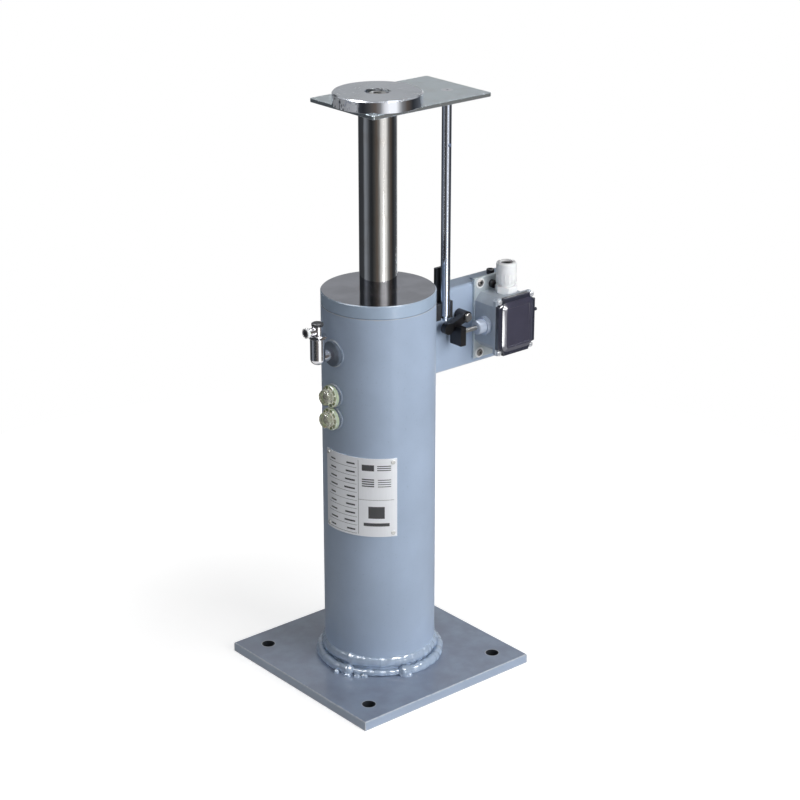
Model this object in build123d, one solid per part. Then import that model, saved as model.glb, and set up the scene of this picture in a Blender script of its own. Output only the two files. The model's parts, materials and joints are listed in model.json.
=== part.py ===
from build123d import *
import os
from math import atan2, cos, degrees, hypot, radians, sin, sqrt

# A spring-return oil buffer for a lift pit, with a switch that tells when it is fully extended.
# Millimetres. The origin is on the tube's axis at the underside of the base plate. +Z is up,
# +X points to the switch, -X to the filler and the sight glasses, -Y is the switch cover's side.

# Fits and edges
SEAT_GAP = 0.05          # radial play of pieces that are fixed in each other
SLIDE_GAP = 0.05         # radial play of pieces that slide or turn in each other
STOP_GAP = 0.3           # play at a stop or a contact that opens and closes
THROUGH_GAP = 0.3        # radial play of a screw in a plain hole
THROUGH_CUT = 1.0        # how far a cut runs past the face that it leaves by
EDGE_BREAK = 0.4         # chamfer on the edges of turned and cut pieces

# Base
BASE_SIDE = 220.0
BASE_THICKNESS = 10.0
BASE_EDGE_CHAMFER = 0.8
BASE_HOLE_INSET = 26.0
BASE_HOLE_RADIUS = 6.75
BASE_WELD_LEG = 7.0      # along the plate
BASE_WELD_RISE = 17.0    # up the tube

# Outer tube
TUBE_RADIUS = 57.5
TUBE_WALL = 5.0
TUBE_TOP = 397.5

# Cylinder cap
CAP_RISE = 13.5          # above the tube
CAP_CHAMFER = 0.8
CAP_GROOVE_HEIGHT = 0.8
CAP_GROOVE_DEPTH = 1.2
CAP_SPIGOT_LENGTH = 25.5
CAP_RECESS_DEPTH = 4.0
CAP_O_RING_HEIGHT = 8.0
O_RING_SECTION = 1.4
CAP_SCREW_ANGLE = 120.0
CAP_SCREW_RADIUS = 3.0
CAP_SCREW_LENGTH = 8.0
CAP_SCREW_SOCKET = 3.0
CAP_SCREW_SOCKET_DEPTH = 3.0

# Pressure cylinder and its seat
CYLINDER_BORE = 30.0
CYLINDER_WALL = 6.0
SEAT_THICKNESS = 12.0
SEAT_SPIGOT = 7.0
VALVE_PORT_RADIUS = 8.0
PORT_FLOOR = 3.0
CHANNEL_WIDTH = 6.0
CHANNEL_HEIGHT = 5.0
FEED_HOLE_RADIUS = 3.0
FEED_COUNT = 4
METERING_RADIUS = 2.0
METERING_COUNT = 10
METERING_FIRST = 52.0    # height of the lowest hole
METERING_STEP = 15.0     # between the two lowest holes
METERING_GROWTH = 2.2    # added to each next step

# Foot valve
VALVE_PLATE_RADIUS = 12.0
VALVE_PLATE_THICKNESS = 2.0
VALVE_LIFT = 1.5
CAGE_WALL = 2.5
CAGE_ROOF = 2.0
CAGE_PORT_RADIUS = 5.0

# Plunger
STROKE = 175.0
RESIDUAL = 7.0           # left between the cap and the head plate at the end of the stroke
ROD_RADIUS = 19.0
ROD_WALL = 5.0
ROD_PLUG_LENGTH = 30.0
PISTON_HEIGHT = 35.0
PISTON_SOCKET_DEPTH = 22.0
PISTON_NOSE_RADIUS = 19.5
PISTON_NOSE_LENGTH = 4.0
PISTON_RING_WIDTH = 2.4
PISTON_RING_HEIGHT = 3.0
PISTON_RING_HEIGHTS = (7.0, 25.0)
SLEEVE_WALL = 5.0
SLEEVE_LENGTH = 49.7

# Guide, seal and wiper in the cap
BUSH_WALL = 5.0
BUSH_LENGTH = 24.0
LAND_GAP = 1.0
SEAL_WIDTH = 6.4
SEAL_HEIGHT = 6.0
SEAL_LAND = 1.0
WIPER_WIDTH = 3.5
WIPER_HEIGHT = 5.0

# Return spring
SPRING_WIRE = 4.0
SPRING_PLAY = 0.9        # between the wire and the piston's nose
SPRING_TURNS = 13

# Head
HEAD_LEFT = -36.0
HEAD_MARGIN = 25.6       # of the plate past the switch rod
HEAD_FRONT = -37.0
HEAD_BACK = 60.0
HEAD_THICKNESS = 4.0
HEAD_CORNER = 2.0
DISC_RADIUS = 44.0
DISC_THICKNESS = 12.0
DISC_CHAMFER = 1.2
DISC_RECESS_RADIUS = 12.5
DISC_RECESS_DEPTH = 8.5
HEAD_BOLT_RADIUS = 6.0
HEAD_BOLT_LENGTH = 28.0
HEAD_BOLT_HEAD_RADIUS = 9.0
HEAD_BOLT_HEAD_HEIGHT = 7.0
HEAD_BOLT_CHAMFER = 0.8
HEAD_BOLT_SOCKET = 8.0
HEAD_BOLT_SOCKET_DEPTH = 4.5

# Switch rod
SWITCH_ROD_STAND = 30.9  # of its axis from the tube
SWITCH_ROD_RADIUS = 5.0
SWITCH_ROD_END = 1.0     # below the guide
SWITCH_ROD_TIP_RADIUS = 3.0
SWITCH_ROD_TIP_LENGTH = 6.0
SWITCH_ROD_HOLE_DROP = 51.0
SWITCH_ROD_HOLE_RADIUS = 2.0
ROD_SCREW_RADIUS = 3.0
ROD_SCREW_LENGTH = 16.0
ROD_SCREW_HEAD_RADIUS = 5.8
ROD_SCREW_HEAD_HEIGHT = 3.0
ROD_SCREW_SOCKET = 4.0
ROD_SCREW_SOCKET_DEPTH = 2.0

# Filler and vent
FILLER_CLEARANCE = 3.0   # between the boss and the cap's spigot
FILLER_BOSS_RADIUS = 13.0
FILLER_BOSS_STAND = 3.5
FILLER_BOSS_CHAMFER = 0.8
BOSS_INNER_STAND = 1.0
FILLER_PIPE_RADIUS = 6.0
FILLER_PIPE_BORE = 3.5
FILLER_STAND = 19.5      # of the upright limb's axis from the tube
FILLER_BODY_RADIUS = 7.5
FILLER_BODY_HEIGHT = 27.0
FILLER_BODY_DROP = 6.5
FILLER_BODY_ROUND = 5.5
COLLAR_ACROSS_FLATS = 17.0
COLLAR_HEIGHT = 3.4
TEE_RADIUS = 5.5
TEE_HEIGHT = 9.0
TEE_ROOF = 1.8
TEE_ARM_RADIUS = 3.8
TEE_ARM_REACH = 15.0
VENT_CAP_RADIUS = 5.6
VENT_CAP_HEIGHT = 3.5
VENT_CAP_CHAMFER = 0.8
SIDE_RING_RADIUS = 5.0
SIDE_RING_WIDTH = 3.0
SIDE_PLUG_RADIUS = 2.6
SIDE_PLUG_LENGTH = 3.5

# Sight glasses
SIGHT_DROP = 44.0        # of the upper one below the filler
SIGHT_PITCH = 24.0
SIGHT_COUNT = 2
SIGHT_BOSS_RADIUS = 11.0
SIGHT_BOSS_STAND = 2.0
SIGHT_THREAD_RADIUS = 7.0
SIGHT_SEAL_THICKNESS = 1.0
SIGHT_FLANGE_RADIUS = 11.7
SIGHT_FLANGE_THICKNESS = 3.5
SIGHT_FLANGE_CHAMFER = 0.9
SIGHT_DOME_RADIUS = 8.0
SIGHT_DOME_LENGTH = 8.0
SIGHT_DOME_ROUND = 3.0
SIGHT_WINDOW_RADIUS = 4.5

# Nameplate
PLATE_DROP = 36.0        # of its top below the lower sight glass
PLATE_HEIGHT = 85.0
PLATE_MIDDLE_ANGLE = -152.3
PLATE_SPAN_ANGLE = 81.3
PLATE_THICKNESS = 0.8
RIVET_RADIUS = 1.2
RIVET_HEAD_RADIUS = 2.2
RIVET_HEAD_HEIGHT = 0.9
RIVET_HEAD_ROUND = 0.4
RIVET_LENGTH = 4.0
RIVET_INSET = 4.0

# Switch bracket
BRACKET_DROP = 16.5      # of its top below the tube's
BRACKET_HEIGHT = 89.0
BRACKET_FRONT = 20.0
BRACKET_SHEET = 4.5
BRACKET_SHORT = 4.0      # of the adapter plate's far edge
BRACKET_FLANGE_DEPTH = 22.0
BRACKET_BEND = 4.0
BRACKET_WELD_LEG = 4.0
BRACKET_WELD_START = 3.0

# Adapter plate
ADAPTER_STAND = 55.6     # of its near edge from the switch rod's axis
ADAPTER_WIDTH = 56.0
ADAPTER_RISE = 5.0       # of its lower edge above the bracket's
ADAPTER_MARGIN = 13.5    # of its top above the switch
ADAPTER_THICKNESS = 3.0
ADAPTER_HOLE_INSET_X = 7.5
ADAPTER_HOLE_INSET_Z = 5.8
ADAPTER_SCREW_RADIUS = 2.0
ADAPTER_SCREW_HEAD_RADIUS = 3.8
ADAPTER_SCREW_HEAD_HEIGHT = 2.2
ADAPTER_SCREW_ROUND = 1.1
ADAPTER_SCREW_LENGTH = 9.0
ADAPTER_SCREW_SOCKET = 2.5
ADAPTER_SCREW_SOCKET_DEPTH = 1.3
CLAMP_SCREW_INSET = 24.0
CLAMP_SCREW_DROP = 9.5
CLAMP_SCREW_RADIUS = 2.5
CLAMP_SCREW_HEAD_RADIUS = 4.25
CLAMP_SCREW_HEAD_HEIGHT = 5.0
CLAMP_SCREW_SOCKET = 4.0
CLAMP_SCREW_SOCKET_DEPTH = 2.5
CLAMP_SCREW_LENGTH = 9.0
FLANGE_SCREW_INSET = 35.0
FLANGE_SCREW_BACK = 11.0

# Rod guide
GUIDE_WIDTH = 22.0
GUIDE_DEPTH = 19.5
GUIDE_DROP = 5.0         # of its top below the bracket's
GUIDE_HEIGHT = 18.0
TONGUE_WIDTH = 14.8
TONGUE_THICKNESS = 3.5
TONGUE_CLEARANCE = 1.0   # between the tongue and the rod
TONGUE_RISE = 37.0       # above the guide
GUIDE_SCREW_INSET = 4.2
GUIDE_SCREW_RADIUS = 2.0
GUIDE_SCREW_LENGTH = 14.0
GUIDE_SCREW_HEAD_RADIUS = 3.5
GUIDE_SCREW_HEAD_HEIGHT = 2.5

# Switch housing
SWITCH_OVERHANG = 1.0    # past the adapter plate's near edge
SWITCH_WIDTH = 52.0
SWITCH_RISE = 12.0       # above the adapter plate's lower edge
SWITCH_HEIGHT = 63.0
SWITCH_DEPTH = 34.0
SWITCH_RIM_DEPTH = 4.0
SWITCH_STEP = 2.0
SWITCH_CORNER_CUT = 8.0
SWITCH_WALL = 4.0
SWITCH_RIM_CORNER = 3.0
GASKET_THICKNESS = 1.0
COVER_THICKNESS = 4.0
COVER_CHAMFER = 0.9
COVER_PANEL_INSET = 6.0
COVER_PANEL_THICKNESS = 2.0
COVER_PANEL_CORNER = 6.0
COVER_PANEL_CHAMFER = 1.5
COVER_NUB_RADIUS = 1.8
COVER_NUB_LENGTH = 2.5
COVER_NUB_RISE = 42.0
COVER_SCREW_INSET = 3.6
COVER_SCREW_RADIUS = 1.5
COVER_SCREW_LENGTH = 6.0
COVER_SCREW_HEAD_RADIUS = 2.8
COVER_SCREW_HEAD_HEIGHT = 3.5
COVER_SCREW_ROUND = 0.8
COVER_SCREW_SLOT_WIDTH = 0.8
COVER_SCREW_SLOT_DEPTH = 1.2
CONTACT_BLOCK_WIDTH = 32.0
CONTACT_BLOCK_HEIGHT = 36.0
CONTACT_BLOCK_DEPTH = 23.0

# Switch pin and its hub
PIN_RISE = 30.5          # above the housing's lower edge
PIN_RADIUS = 2.5
PIN_REACH = 16.7         # past the hub
PIN_TRAVEL = 3.6
PIN_DEPTH = 14.0         # inside the housing's near edge
PIN_ROUND = 0.6
HUB_FLANGE_RADIUS = 9.5
HUB_FLANGE_THICKNESS = 5.0
HUB_RADIUS = 7.5
HUB_LENGTH = 9.0
HUB_CHAMFER = 0.9

# Cable gland
GLAND_INSET = 30.0
GLAND_THREAD_RADIUS = 8.0
GLAND_BORE_RADIUS = 5.0
GLAND_ACROSS_FLATS = 21.0
GLAND_BASE_HEIGHT = 8.0
GLAND_NECK_RADIUS = 8.6
GLAND_NECK_HEIGHT = 2.0
GLAND_NUT_RADIUS = 10.75
GLAND_NUT_HEIGHT = 23.0
GLAND_NUT_ROUND = 2.5
GLAND_MOUTH_RADIUS = 7.0
GLAND_MOUTH_DEPTH = 8.0
GLAND_SEAL_HEIGHT = 6.0
GLAND_SEAL_WALL = 3.0

# Trip lever
PIVOT_RISE = 11.5        # above the switch pin
PIVOT_STAND = 10.5       # from the pad's face
LEVER_REACH = 24.5
LEVER_TIP_DROP = 8.0
LEVER_TIP_RADIUS = 6.0
LEVER_HUB_RADIUS = 6.0
LEVER_ARM_HEIGHT = 8.0
LEVER_CLEARANCE = 1.0    # between the arm and the rod's path
LEVER_THICKNESS = 7.0
PAD_WIDTH = 7.0
PAD_HEIGHT = 20.0
PAD_DROP = 6.0           # of its top below the pivot
PAD_FRONT = -4.0
PIVOT_RADIUS = 3.0
PIVOT_HEAD_RADIUS = 4.5
PIVOT_HEAD_THICKNESS = 2.5

# Heights and places that follow from the sizes above: the tube and what is in it
TUBE_BORE = TUBE_RADIUS - TUBE_WALL
SEAT_TOP = BASE_THICKNESS + SEAT_THICKNESS
SPIGOT_TOP = SEAT_TOP + SEAT_SPIGOT
CAP_TOP = TUBE_TOP + CAP_RISE
CAP_BOTTOM = TUBE_TOP - CAP_SPIGOT_LENGTH
CYLINDER_TOP = CAP_BOTTOM + CAP_RECESS_DEPTH
CYLINDER_RADIUS = CYLINDER_BORE + CYLINDER_WALL
FEED_CIRCLE = (CYLINDER_RADIUS + TUBE_BORE) / 2
BUSH_TOP = CAP_BOTTOM + BUSH_LENGTH
SEAL_BOTTOM = BUSH_TOP + SEAL_LAND
WIPER_BOTTOM = CAP_TOP - WIPER_HEIGHT
PLATE_UNDERSIDE = CAP_TOP + STROKE + RESIDUAL
DISC_BOTTOM = PLATE_UNDERSIDE + HEAD_THICKNESS
DISC_TOP = DISC_BOTTOM + DISC_THICKNESS
SLEEVE_BOTTOM = CAP_BOTTOM - STOP_GAP - SLEEVE_LENGTH
PISTON_BOTTOM = SLEEVE_BOTTOM - PISTON_HEIGHT
ROD_BOTTOM = SLEEVE_BOTTOM - PISTON_SOCKET_DEPTH
SPRING_RADIUS = PISTON_NOSE_RADIUS + SPRING_PLAY + SPRING_WIRE / 2

# The filler, the sight glasses and the nameplate
FILLER_HEIGHT = CAP_BOTTOM - FILLER_BOSS_RADIUS - FILLER_CLEARANCE
FILLER_REACH = TUBE_RADIUS + FILLER_STAND
COLLAR_BOTTOM = FILLER_HEIGHT - FILLER_BODY_DROP + FILLER_BODY_HEIGHT
TEE_BOTTOM = COLLAR_BOTTOM + COLLAR_HEIGHT
TEE_TOP = TEE_BOTTOM + TEE_HEIGHT
SIGHT_HEIGHTS = [FILLER_HEIGHT - SIGHT_DROP - SIGHT_PITCH * step for step in range(SIGHT_COUNT)]
PLATE_TOP = SIGHT_HEIGHTS[-1] - PLATE_DROP
PLATE_BOTTOM = PLATE_TOP - PLATE_HEIGHT

# The bracket, the rod and its guide
BRACKET_TOP = TUBE_TOP - BRACKET_DROP
BRACKET_BOTTOM = BRACKET_TOP - BRACKET_HEIGHT
SWITCH_ROD_X = TUBE_RADIUS + SWITCH_ROD_STAND
HEAD_RIGHT = SWITCH_ROD_X + HEAD_MARGIN
GUIDE_LEFT = SWITCH_ROD_X - GUIDE_WIDTH / 2
GUIDE_RIGHT = SWITCH_ROD_X + GUIDE_WIDTH / 2
GUIDE_TOP = BRACKET_TOP - GUIDE_DROP
GUIDE_BOTTOM = GUIDE_TOP - GUIDE_HEIGHT
SWITCH_ROD_BOTTOM = GUIDE_BOTTOM - SWITCH_ROD_END
SWITCH_ROD_HOLE_HEIGHT = PLATE_UNDERSIDE - SWITCH_ROD_HOLE_DROP

# The adapter plate and the switch
ADAPTER_LEFT = SWITCH_ROD_X + ADAPTER_STAND
ADAPTER_RIGHT = ADAPTER_LEFT + ADAPTER_WIDTH
ADAPTER_BOTTOM = BRACKET_BOTTOM + ADAPTER_RISE
BRACKET_RIGHT = ADAPTER_RIGHT - BRACKET_SHORT
CLAMP_SCREW_X = ADAPTER_LEFT + CLAMP_SCREW_INSET
FLANGE_SCREW_X = ADAPTER_LEFT + FLANGE_SCREW_INSET
SWITCH_LEFT = ADAPTER_LEFT - SWITCH_OVERHANG
SWITCH_RIGHT = SWITCH_LEFT + SWITCH_WIDTH
SWITCH_BOTTOM = ADAPTER_BOTTOM + SWITCH_RISE
SWITCH_TOP = SWITCH_BOTTOM + SWITCH_HEIGHT
ADAPTER_TOP = SWITCH_TOP + ADAPTER_MARGIN
SWITCH_BODY_TOP = SWITCH_TOP - SWITCH_STEP
SWITCH_BACK = BRACKET_FRONT - ADAPTER_THICKNESS
SWITCH_FRONT = SWITCH_BACK - SWITCH_DEPTH
COVER_BACK = SWITCH_FRONT - GASKET_THICKNESS
COVER_FRONT = COVER_BACK - COVER_THICKNESS
GLAND_X = SWITCH_LEFT + GLAND_INSET

# The switch pin and the trip lever
PIN_HEIGHT = SWITCH_BOTTOM + PIN_RISE
PIN_INNER_X = SWITCH_LEFT + PIN_DEPTH
HUB_END_X = SWITCH_LEFT + SWITCH_STEP - HUB_FLANGE_THICKNESS - HUB_LENGTH
PIN_TIP_X = HUB_END_X - PIN_REACH
PAD_FACE_X = PIN_TIP_X - STOP_GAP
PIVOT_X = PAD_FACE_X + PIVOT_STAND
PIVOT_HEIGHT = PIN_HEIGHT + PIVOT_RISE
PAD_TOP = PIVOT_HEIGHT - PAD_DROP
LEVER_FRONT = SWITCH_ROD_RADIUS + LEVER_CLEARANCE


def upright(radius, bottom, top, x=0.0, y=0.0):
    """A solid cylinder that stands between two heights."""
    return Pos(x, y, (bottom + top) / 2) * Cylinder(radius, top - bottom)


def pipe(outer, inner, bottom, top, x=0.0, y=0.0):
    """A ring that stands between two heights."""
    return upright(outer, bottom, top, x, y) - upright(
        inner, bottom - THROUGH_CUT, top + THROUGH_CUT, x, y
    )


def along_x(radius, start, end, y, z):
    """A solid cylinder from one X to another."""
    return Pos((start + end) / 2, y, z) * Rot(0, 90, 0) * Cylinder(radius, end - start)


def along_y(radius, start, end, x, z):
    """A solid cylinder from one Y to another."""
    return Pos(x, (start + end) / 2, z) * Rot(90, 0, 0) * Cylinder(radius, end - start)


def block(left, right, front, back, bottom, top):
    """A box between three pairs of faces."""
    middle = Pos((left + right) / 2, (front + back) / 2, (bottom + top) / 2)
    return middle * Box(right - left, back - front, top - bottom)


def sheet_y(outline, front, back):
    """Extrudes an outline drawn in X and Z from one Y to another."""
    plane = Plane((0, back, 0), x_dir=(1, 0, 0), z_dir=(0, -1, 0))
    return extrude(plane * outline, amount=back - front)


def hexagon(across_flats, bottom, top, x=0.0, y=0.0):
    """A hexagonal prism that stands between two heights."""
    outline = RegularPolygon(across_flats / 2, 6, major_radius=False)
    return extrude(Pos(x, y, bottom) * outline, amount=top - bottom)


def hex_nut(across_flats, bottom, top, x=0.0, y=0.0):
    """A hexagonal prism whose corners are turned off at both ends."""
    reach = across_flats / sqrt(3)
    blank = upright(reach, bottom, top, x, y)
    turned = chamfer(blank.edges().filter_by(GeomType.CIRCLE), reach - across_flats / 2)
    return hexagon(across_flats, bottom, top, x, y) & turned


def socket_y(across_flats, front, depth, x, z):
    """The hexagonal socket of a screw whose head faces -Y."""
    outline = RegularPolygon(across_flats / 2, 6, major_radius=False)
    return sheet_y(Pos(x, z) * outline, front - THROUGH_CUT, front + depth)


def screw_y(radius, length, head_radius, head_height, seat, x, z):
    """A round-headed screw whose head stands off a face at Y = seat, towards -Y."""
    head = along_y(head_radius, seat - head_height, seat, x, z)
    return head + along_y(radius, seat, seat + length, x, z)


def corners(left, right, bottom, top):
    """The four corners of a rectangle."""
    return [(x, z) for x in (left, right) for z in (bottom, top)]


def radial(shape, angle, height):
    """Turns a shape drawn along +X at height 0 to an angle round the tube."""
    return Pos(0, 0, height) * Rot(0, 0, angle) * shape


def break_ends(shape, axis):
    """Chamfers the edges of a shape's two end faces along an axis."""
    faces = shape.faces().sort_by(axis)
    return chamfer(faces[0].edges() + faces[-1].edges(), EDGE_BREAK)


def base_plate():
    """The square foot with a hole for an anchor bolt at each corner."""
    plate = block(*(-BASE_SIDE / 2, BASE_SIDE / 2) * 2, 0, BASE_THICKNESS)
    plate = chamfer(plate.faces().sort_by(Axis.Z)[-1].edges(), BASE_EDGE_CHAMFER)
    half = BASE_SIDE / 2 - BASE_HOLE_INSET
    for x, y in corners(-half, half, -half, half):
        plate -= upright(BASE_HOLE_RADIUS, -THROUGH_CUT, BASE_THICKNESS + THROUGH_CUT, x, y)
    return plate


def base_weld():
    """The fillet weld between the tube and the base plate."""
    inner = TUBE_RADIUS + SEAT_GAP
    outline = Polygon(
        (inner, BASE_THICKNESS),
        (inner + BASE_WELD_LEG, BASE_THICKNESS),
        (inner, BASE_THICKNESS + BASE_WELD_RISE),
        align=None,
    )
    return revolve(Plane.XZ * outline, Axis.Z)


def outer_tube():
    """The reservoir tube, bored for the filler, the sight glasses and the rivets."""
    tube = pipe(TUBE_RADIUS, TUBE_BORE, BASE_THICKNESS, TUBE_TOP)
    far = TUBE_RADIUS + THROUGH_CUT
    tube -= along_x(FILLER_BOSS_RADIUS + SEAT_GAP, -far, 0, 0, FILLER_HEIGHT)
    for height in SIGHT_HEIGHTS:
        tube -= along_x(SIGHT_BOSS_RADIUS + SEAT_GAP, -far, 0, 0, height)
    hole = along_x(RIVET_RADIUS + SEAT_GAP, TUBE_BORE - THROUGH_CUT, far, 0, 0)
    for angle, height in rivet_places():
        tube -= radial(hole, angle, height)
    return tube


def cylinder_seat():
    """The disc under the pressure cylinder, with the oil's way in to the foot valve."""
    seat = upright(TUBE_BORE - SEAT_GAP, BASE_THICKNESS, SEAT_TOP)
    seat += upright(CYLINDER_BORE - SEAT_GAP, SEAT_TOP, SPIGOT_TOP)
    floor = BASE_THICKNESS + PORT_FLOOR
    seat -= upright(VALVE_PORT_RADIUS, floor, SPIGOT_TOP + THROUGH_CUT)
    for step in range(FEED_COUNT):
        turn = Rot(0, 0, 360 / FEED_COUNT * step)
        half = CHANNEL_WIDTH / 2
        seat -= turn * block(0, FEED_CIRCLE, -half, half, floor, floor + CHANNEL_HEIGHT)
        seat -= turn * upright(FEED_HOLE_RADIUS, floor, SEAT_TOP + THROUGH_CUT, FEED_CIRCLE)
    middle = SEAT_TOP + SEAT_SPIGOT / 2
    groove = CYLINDER_BORE - 2 * O_RING_SECTION - SEAT_GAP
    half = O_RING_SECTION + SEAT_GAP
    return seat - pipe(CYLINDER_BORE, groove, middle - half, middle + half)


def seat_o_ring():
    """The O-ring between the seat's spigot and the pressure cylinder."""
    middle = SEAT_TOP + SEAT_SPIGOT / 2
    return Pos(0, 0, middle) * Torus(CYLINDER_BORE - O_RING_SECTION - SEAT_GAP / 2, O_RING_SECTION)


def foot_valve_plate():
    """The plate that closes the port as the plunger goes down and lifts as it comes back."""
    return upright(VALVE_PLATE_RADIUS, SPIGOT_TOP, SPIGOT_TOP + VALVE_PLATE_THICKNESS)


def foot_valve_cage():
    """The cup that keeps the valve plate over its port."""
    inner = VALVE_PLATE_RADIUS + THROUGH_GAP
    ceiling = SPIGOT_TOP + VALVE_PLATE_THICKNESS + VALVE_LIFT + STOP_GAP
    cage = upright(inner + CAGE_WALL, SPIGOT_TOP, ceiling + CAGE_ROOF)
    cage -= upright(inner, SPIGOT_TOP - THROUGH_CUT, ceiling)
    return cage - upright(CAGE_PORT_RADIUS, ceiling - THROUGH_CUT, ceiling + CAGE_ROOF + THROUGH_CUT)


def metering_heights():
    """Heights of the metering holes, closer together towards the end of the stroke."""
    heights = [METERING_FIRST]
    for step in range(METERING_COUNT - 1):
        heights.append(heights[-1] + METERING_STEP + METERING_GROWTH * step)
    return [height for height in heights if height < PISTON_BOTTOM]


def pressure_cylinder():
    """The inner cylinder, with the metering holes that the piston closes one after another."""
    cylinder = pipe(CYLINDER_RADIUS, CYLINDER_BORE, SEAT_TOP, CYLINDER_TOP)
    reach = CYLINDER_RADIUS + THROUGH_CUT
    for height in metering_heights():
        cylinder -= along_y(METERING_RADIUS, -reach, reach, 0, height)
    return cylinder


def cylinder_cap():
    """The head of the cylinder, which holds the guide bush, the seal and the wiper."""
    groove_top = TUBE_TOP + CAP_GROOVE_HEIGHT
    flange = upright(TUBE_RADIUS, groove_top, CAP_TOP)
    cap = chamfer(flange.faces().sort_by(Axis.Z)[-1].edges(), CAP_CHAMFER)
    cap += upright(TUBE_RADIUS - CAP_GROOVE_DEPTH, TUBE_TOP, groove_top)
    cap += upright(TUBE_BORE - SEAT_GAP, CAP_BOTTOM, TUBE_TOP)
    below = CAP_BOTTOM - THROUGH_CUT
    cap -= pipe(CYLINDER_RADIUS + SEAT_GAP, CYLINDER_BORE - SEAT_GAP, below, CYLINDER_TOP)
    cap -= upright(ROD_RADIUS + LAND_GAP, below, CAP_TOP + THROUGH_CUT)
    cap -= upright(ROD_RADIUS + SLIDE_GAP + BUSH_WALL + SEAT_GAP, below, BUSH_TOP)
    cap -= upright(ROD_RADIUS + SEAL_WIDTH + SEAT_GAP, SEAL_BOTTOM, SEAL_BOTTOM + SEAL_HEIGHT)
    cap -= upright(ROD_RADIUS + WIPER_WIDTH + SEAT_GAP, WIPER_BOTTOM, CAP_TOP + THROUGH_CUT)
    middle = CAP_BOTTOM + CAP_O_RING_HEIGHT
    half = O_RING_SECTION + SEAT_GAP
    groove = TUBE_BORE - 2 * O_RING_SECTION - 2 * SEAT_GAP
    cap -= pipe(TUBE_BORE, groove, middle - half, middle + half)
    floor = TUBE_RADIUS - CAP_SCREW_LENGTH
    hole = along_x(CAP_SCREW_RADIUS + SEAT_GAP, floor, TUBE_RADIUS + THROUGH_CUT, 0, 0)
    return cap - radial(hole, CAP_SCREW_ANGLE, cap_screw_height())


def cap_screw_height():
    """The set screw sits at mid height of the cap's rim."""
    return (TUBE_TOP + CAP_GROOVE_HEIGHT + CAP_TOP) / 2


def cap_o_ring():
    """The O-ring between the cap and the outer tube."""
    middle = CAP_BOTTOM + CAP_O_RING_HEIGHT
    return Pos(0, 0, middle) * Torus(TUBE_BORE - O_RING_SECTION - SEAT_GAP, O_RING_SECTION)


def cap_set_screw():
    """The hexagon socket set screw that locks the cap."""
    screw = along_x(CAP_SCREW_RADIUS, TUBE_RADIUS - CAP_SCREW_LENGTH, TUBE_RADIUS - STOP_GAP, 0, 0)
    outline = Plane.YZ * RegularPolygon(CAP_SCREW_SOCKET / 2, 6, major_radius=False)
    socket = extrude(outline, amount=CAP_SCREW_SOCKET_DEPTH + THROUGH_CUT)
    screw -= Pos(TUBE_RADIUS - STOP_GAP - CAP_SCREW_SOCKET_DEPTH, 0, 0) * socket
    return radial(screw, CAP_SCREW_ANGLE, cap_screw_height())


def guide_bush():
    """The bronze bush that the plunger slides in."""
    inner = ROD_RADIUS + SLIDE_GAP
    return pipe(inner + BUSH_WALL, inner, CAP_BOTTOM, BUSH_TOP)


def rod_seal():
    """The lip seal above the bush."""
    return pipe(ROD_RADIUS + SEAL_WIDTH, ROD_RADIUS + SLIDE_GAP, SEAL_BOTTOM, SEAL_BOTTOM + SEAL_HEIGHT)


def wiper_ring():
    """The wiper, level with the top of the cap."""
    return pipe(ROD_RADIUS + WIPER_WIDTH, ROD_RADIUS + SLIDE_GAP, WIPER_BOTTOM, CAP_TOP)


def plunger_tube():
    """The hollow chromed plunger."""
    return pipe(ROD_RADIUS, ROD_RADIUS - ROD_WALL, ROD_BOTTOM, PLATE_UNDERSIDE)


def plunger_plug():
    """The threaded plug in the top of the plunger."""
    radius = ROD_RADIUS - ROD_WALL - SEAT_GAP
    plug = upright(radius, PLATE_UNDERSIDE - ROD_PLUG_LENGTH, PLATE_UNDERSIDE)
    depth = HEAD_BOLT_LENGTH - HEAD_THICKNESS - (DISC_THICKNESS - DISC_RECESS_DEPTH) + STOP_GAP
    return plug - upright(HEAD_BOLT_RADIUS + SEAT_GAP, PLATE_UNDERSIDE - depth, PLATE_UNDERSIDE + THROUGH_CUT)


def piston():
    """The piston, with a socket for the plunger and a nose that centres the spring."""
    body = upright(CYLINDER_BORE - SLIDE_GAP, PISTON_BOTTOM, SLEEVE_BOTTOM)
    body += upright(PISTON_NOSE_RADIUS, PISTON_BOTTOM - PISTON_NOSE_LENGTH, PISTON_BOTTOM)
    body -= upright(ROD_RADIUS + SEAT_GAP, ROD_BOTTOM, SLEEVE_BOTTOM + THROUGH_CUT)
    for height in PISTON_RING_HEIGHTS:
        low = PISTON_BOTTOM + height
        inner = CYLINDER_BORE - SLIDE_GAP - PISTON_RING_WIDTH - SEAT_GAP
        body -= pipe(CYLINDER_BORE, inner, low, low + PISTON_RING_HEIGHT)
    return body


def piston_rings():
    """The two piston rings."""
    rings = []
    for height in PISTON_RING_HEIGHTS:
        low = PISTON_BOTTOM + height + SEAT_GAP
        outer = CYLINDER_BORE - SLIDE_GAP
        rings.append(pipe(outer, outer - PISTON_RING_WIDTH, low, low + PISTON_RING_HEIGHT - 2 * SEAT_GAP))
    return Compound(children=rings)


def rebound_sleeve():
    """The spacer that stops the plunger at full extension."""
    inner = ROD_RADIUS + SEAT_GAP
    return pipe(inner + SLEEVE_WALL, inner, SLEEVE_BOTTOM, SLEEVE_BOTTOM + SLEEVE_LENGTH)


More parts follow.
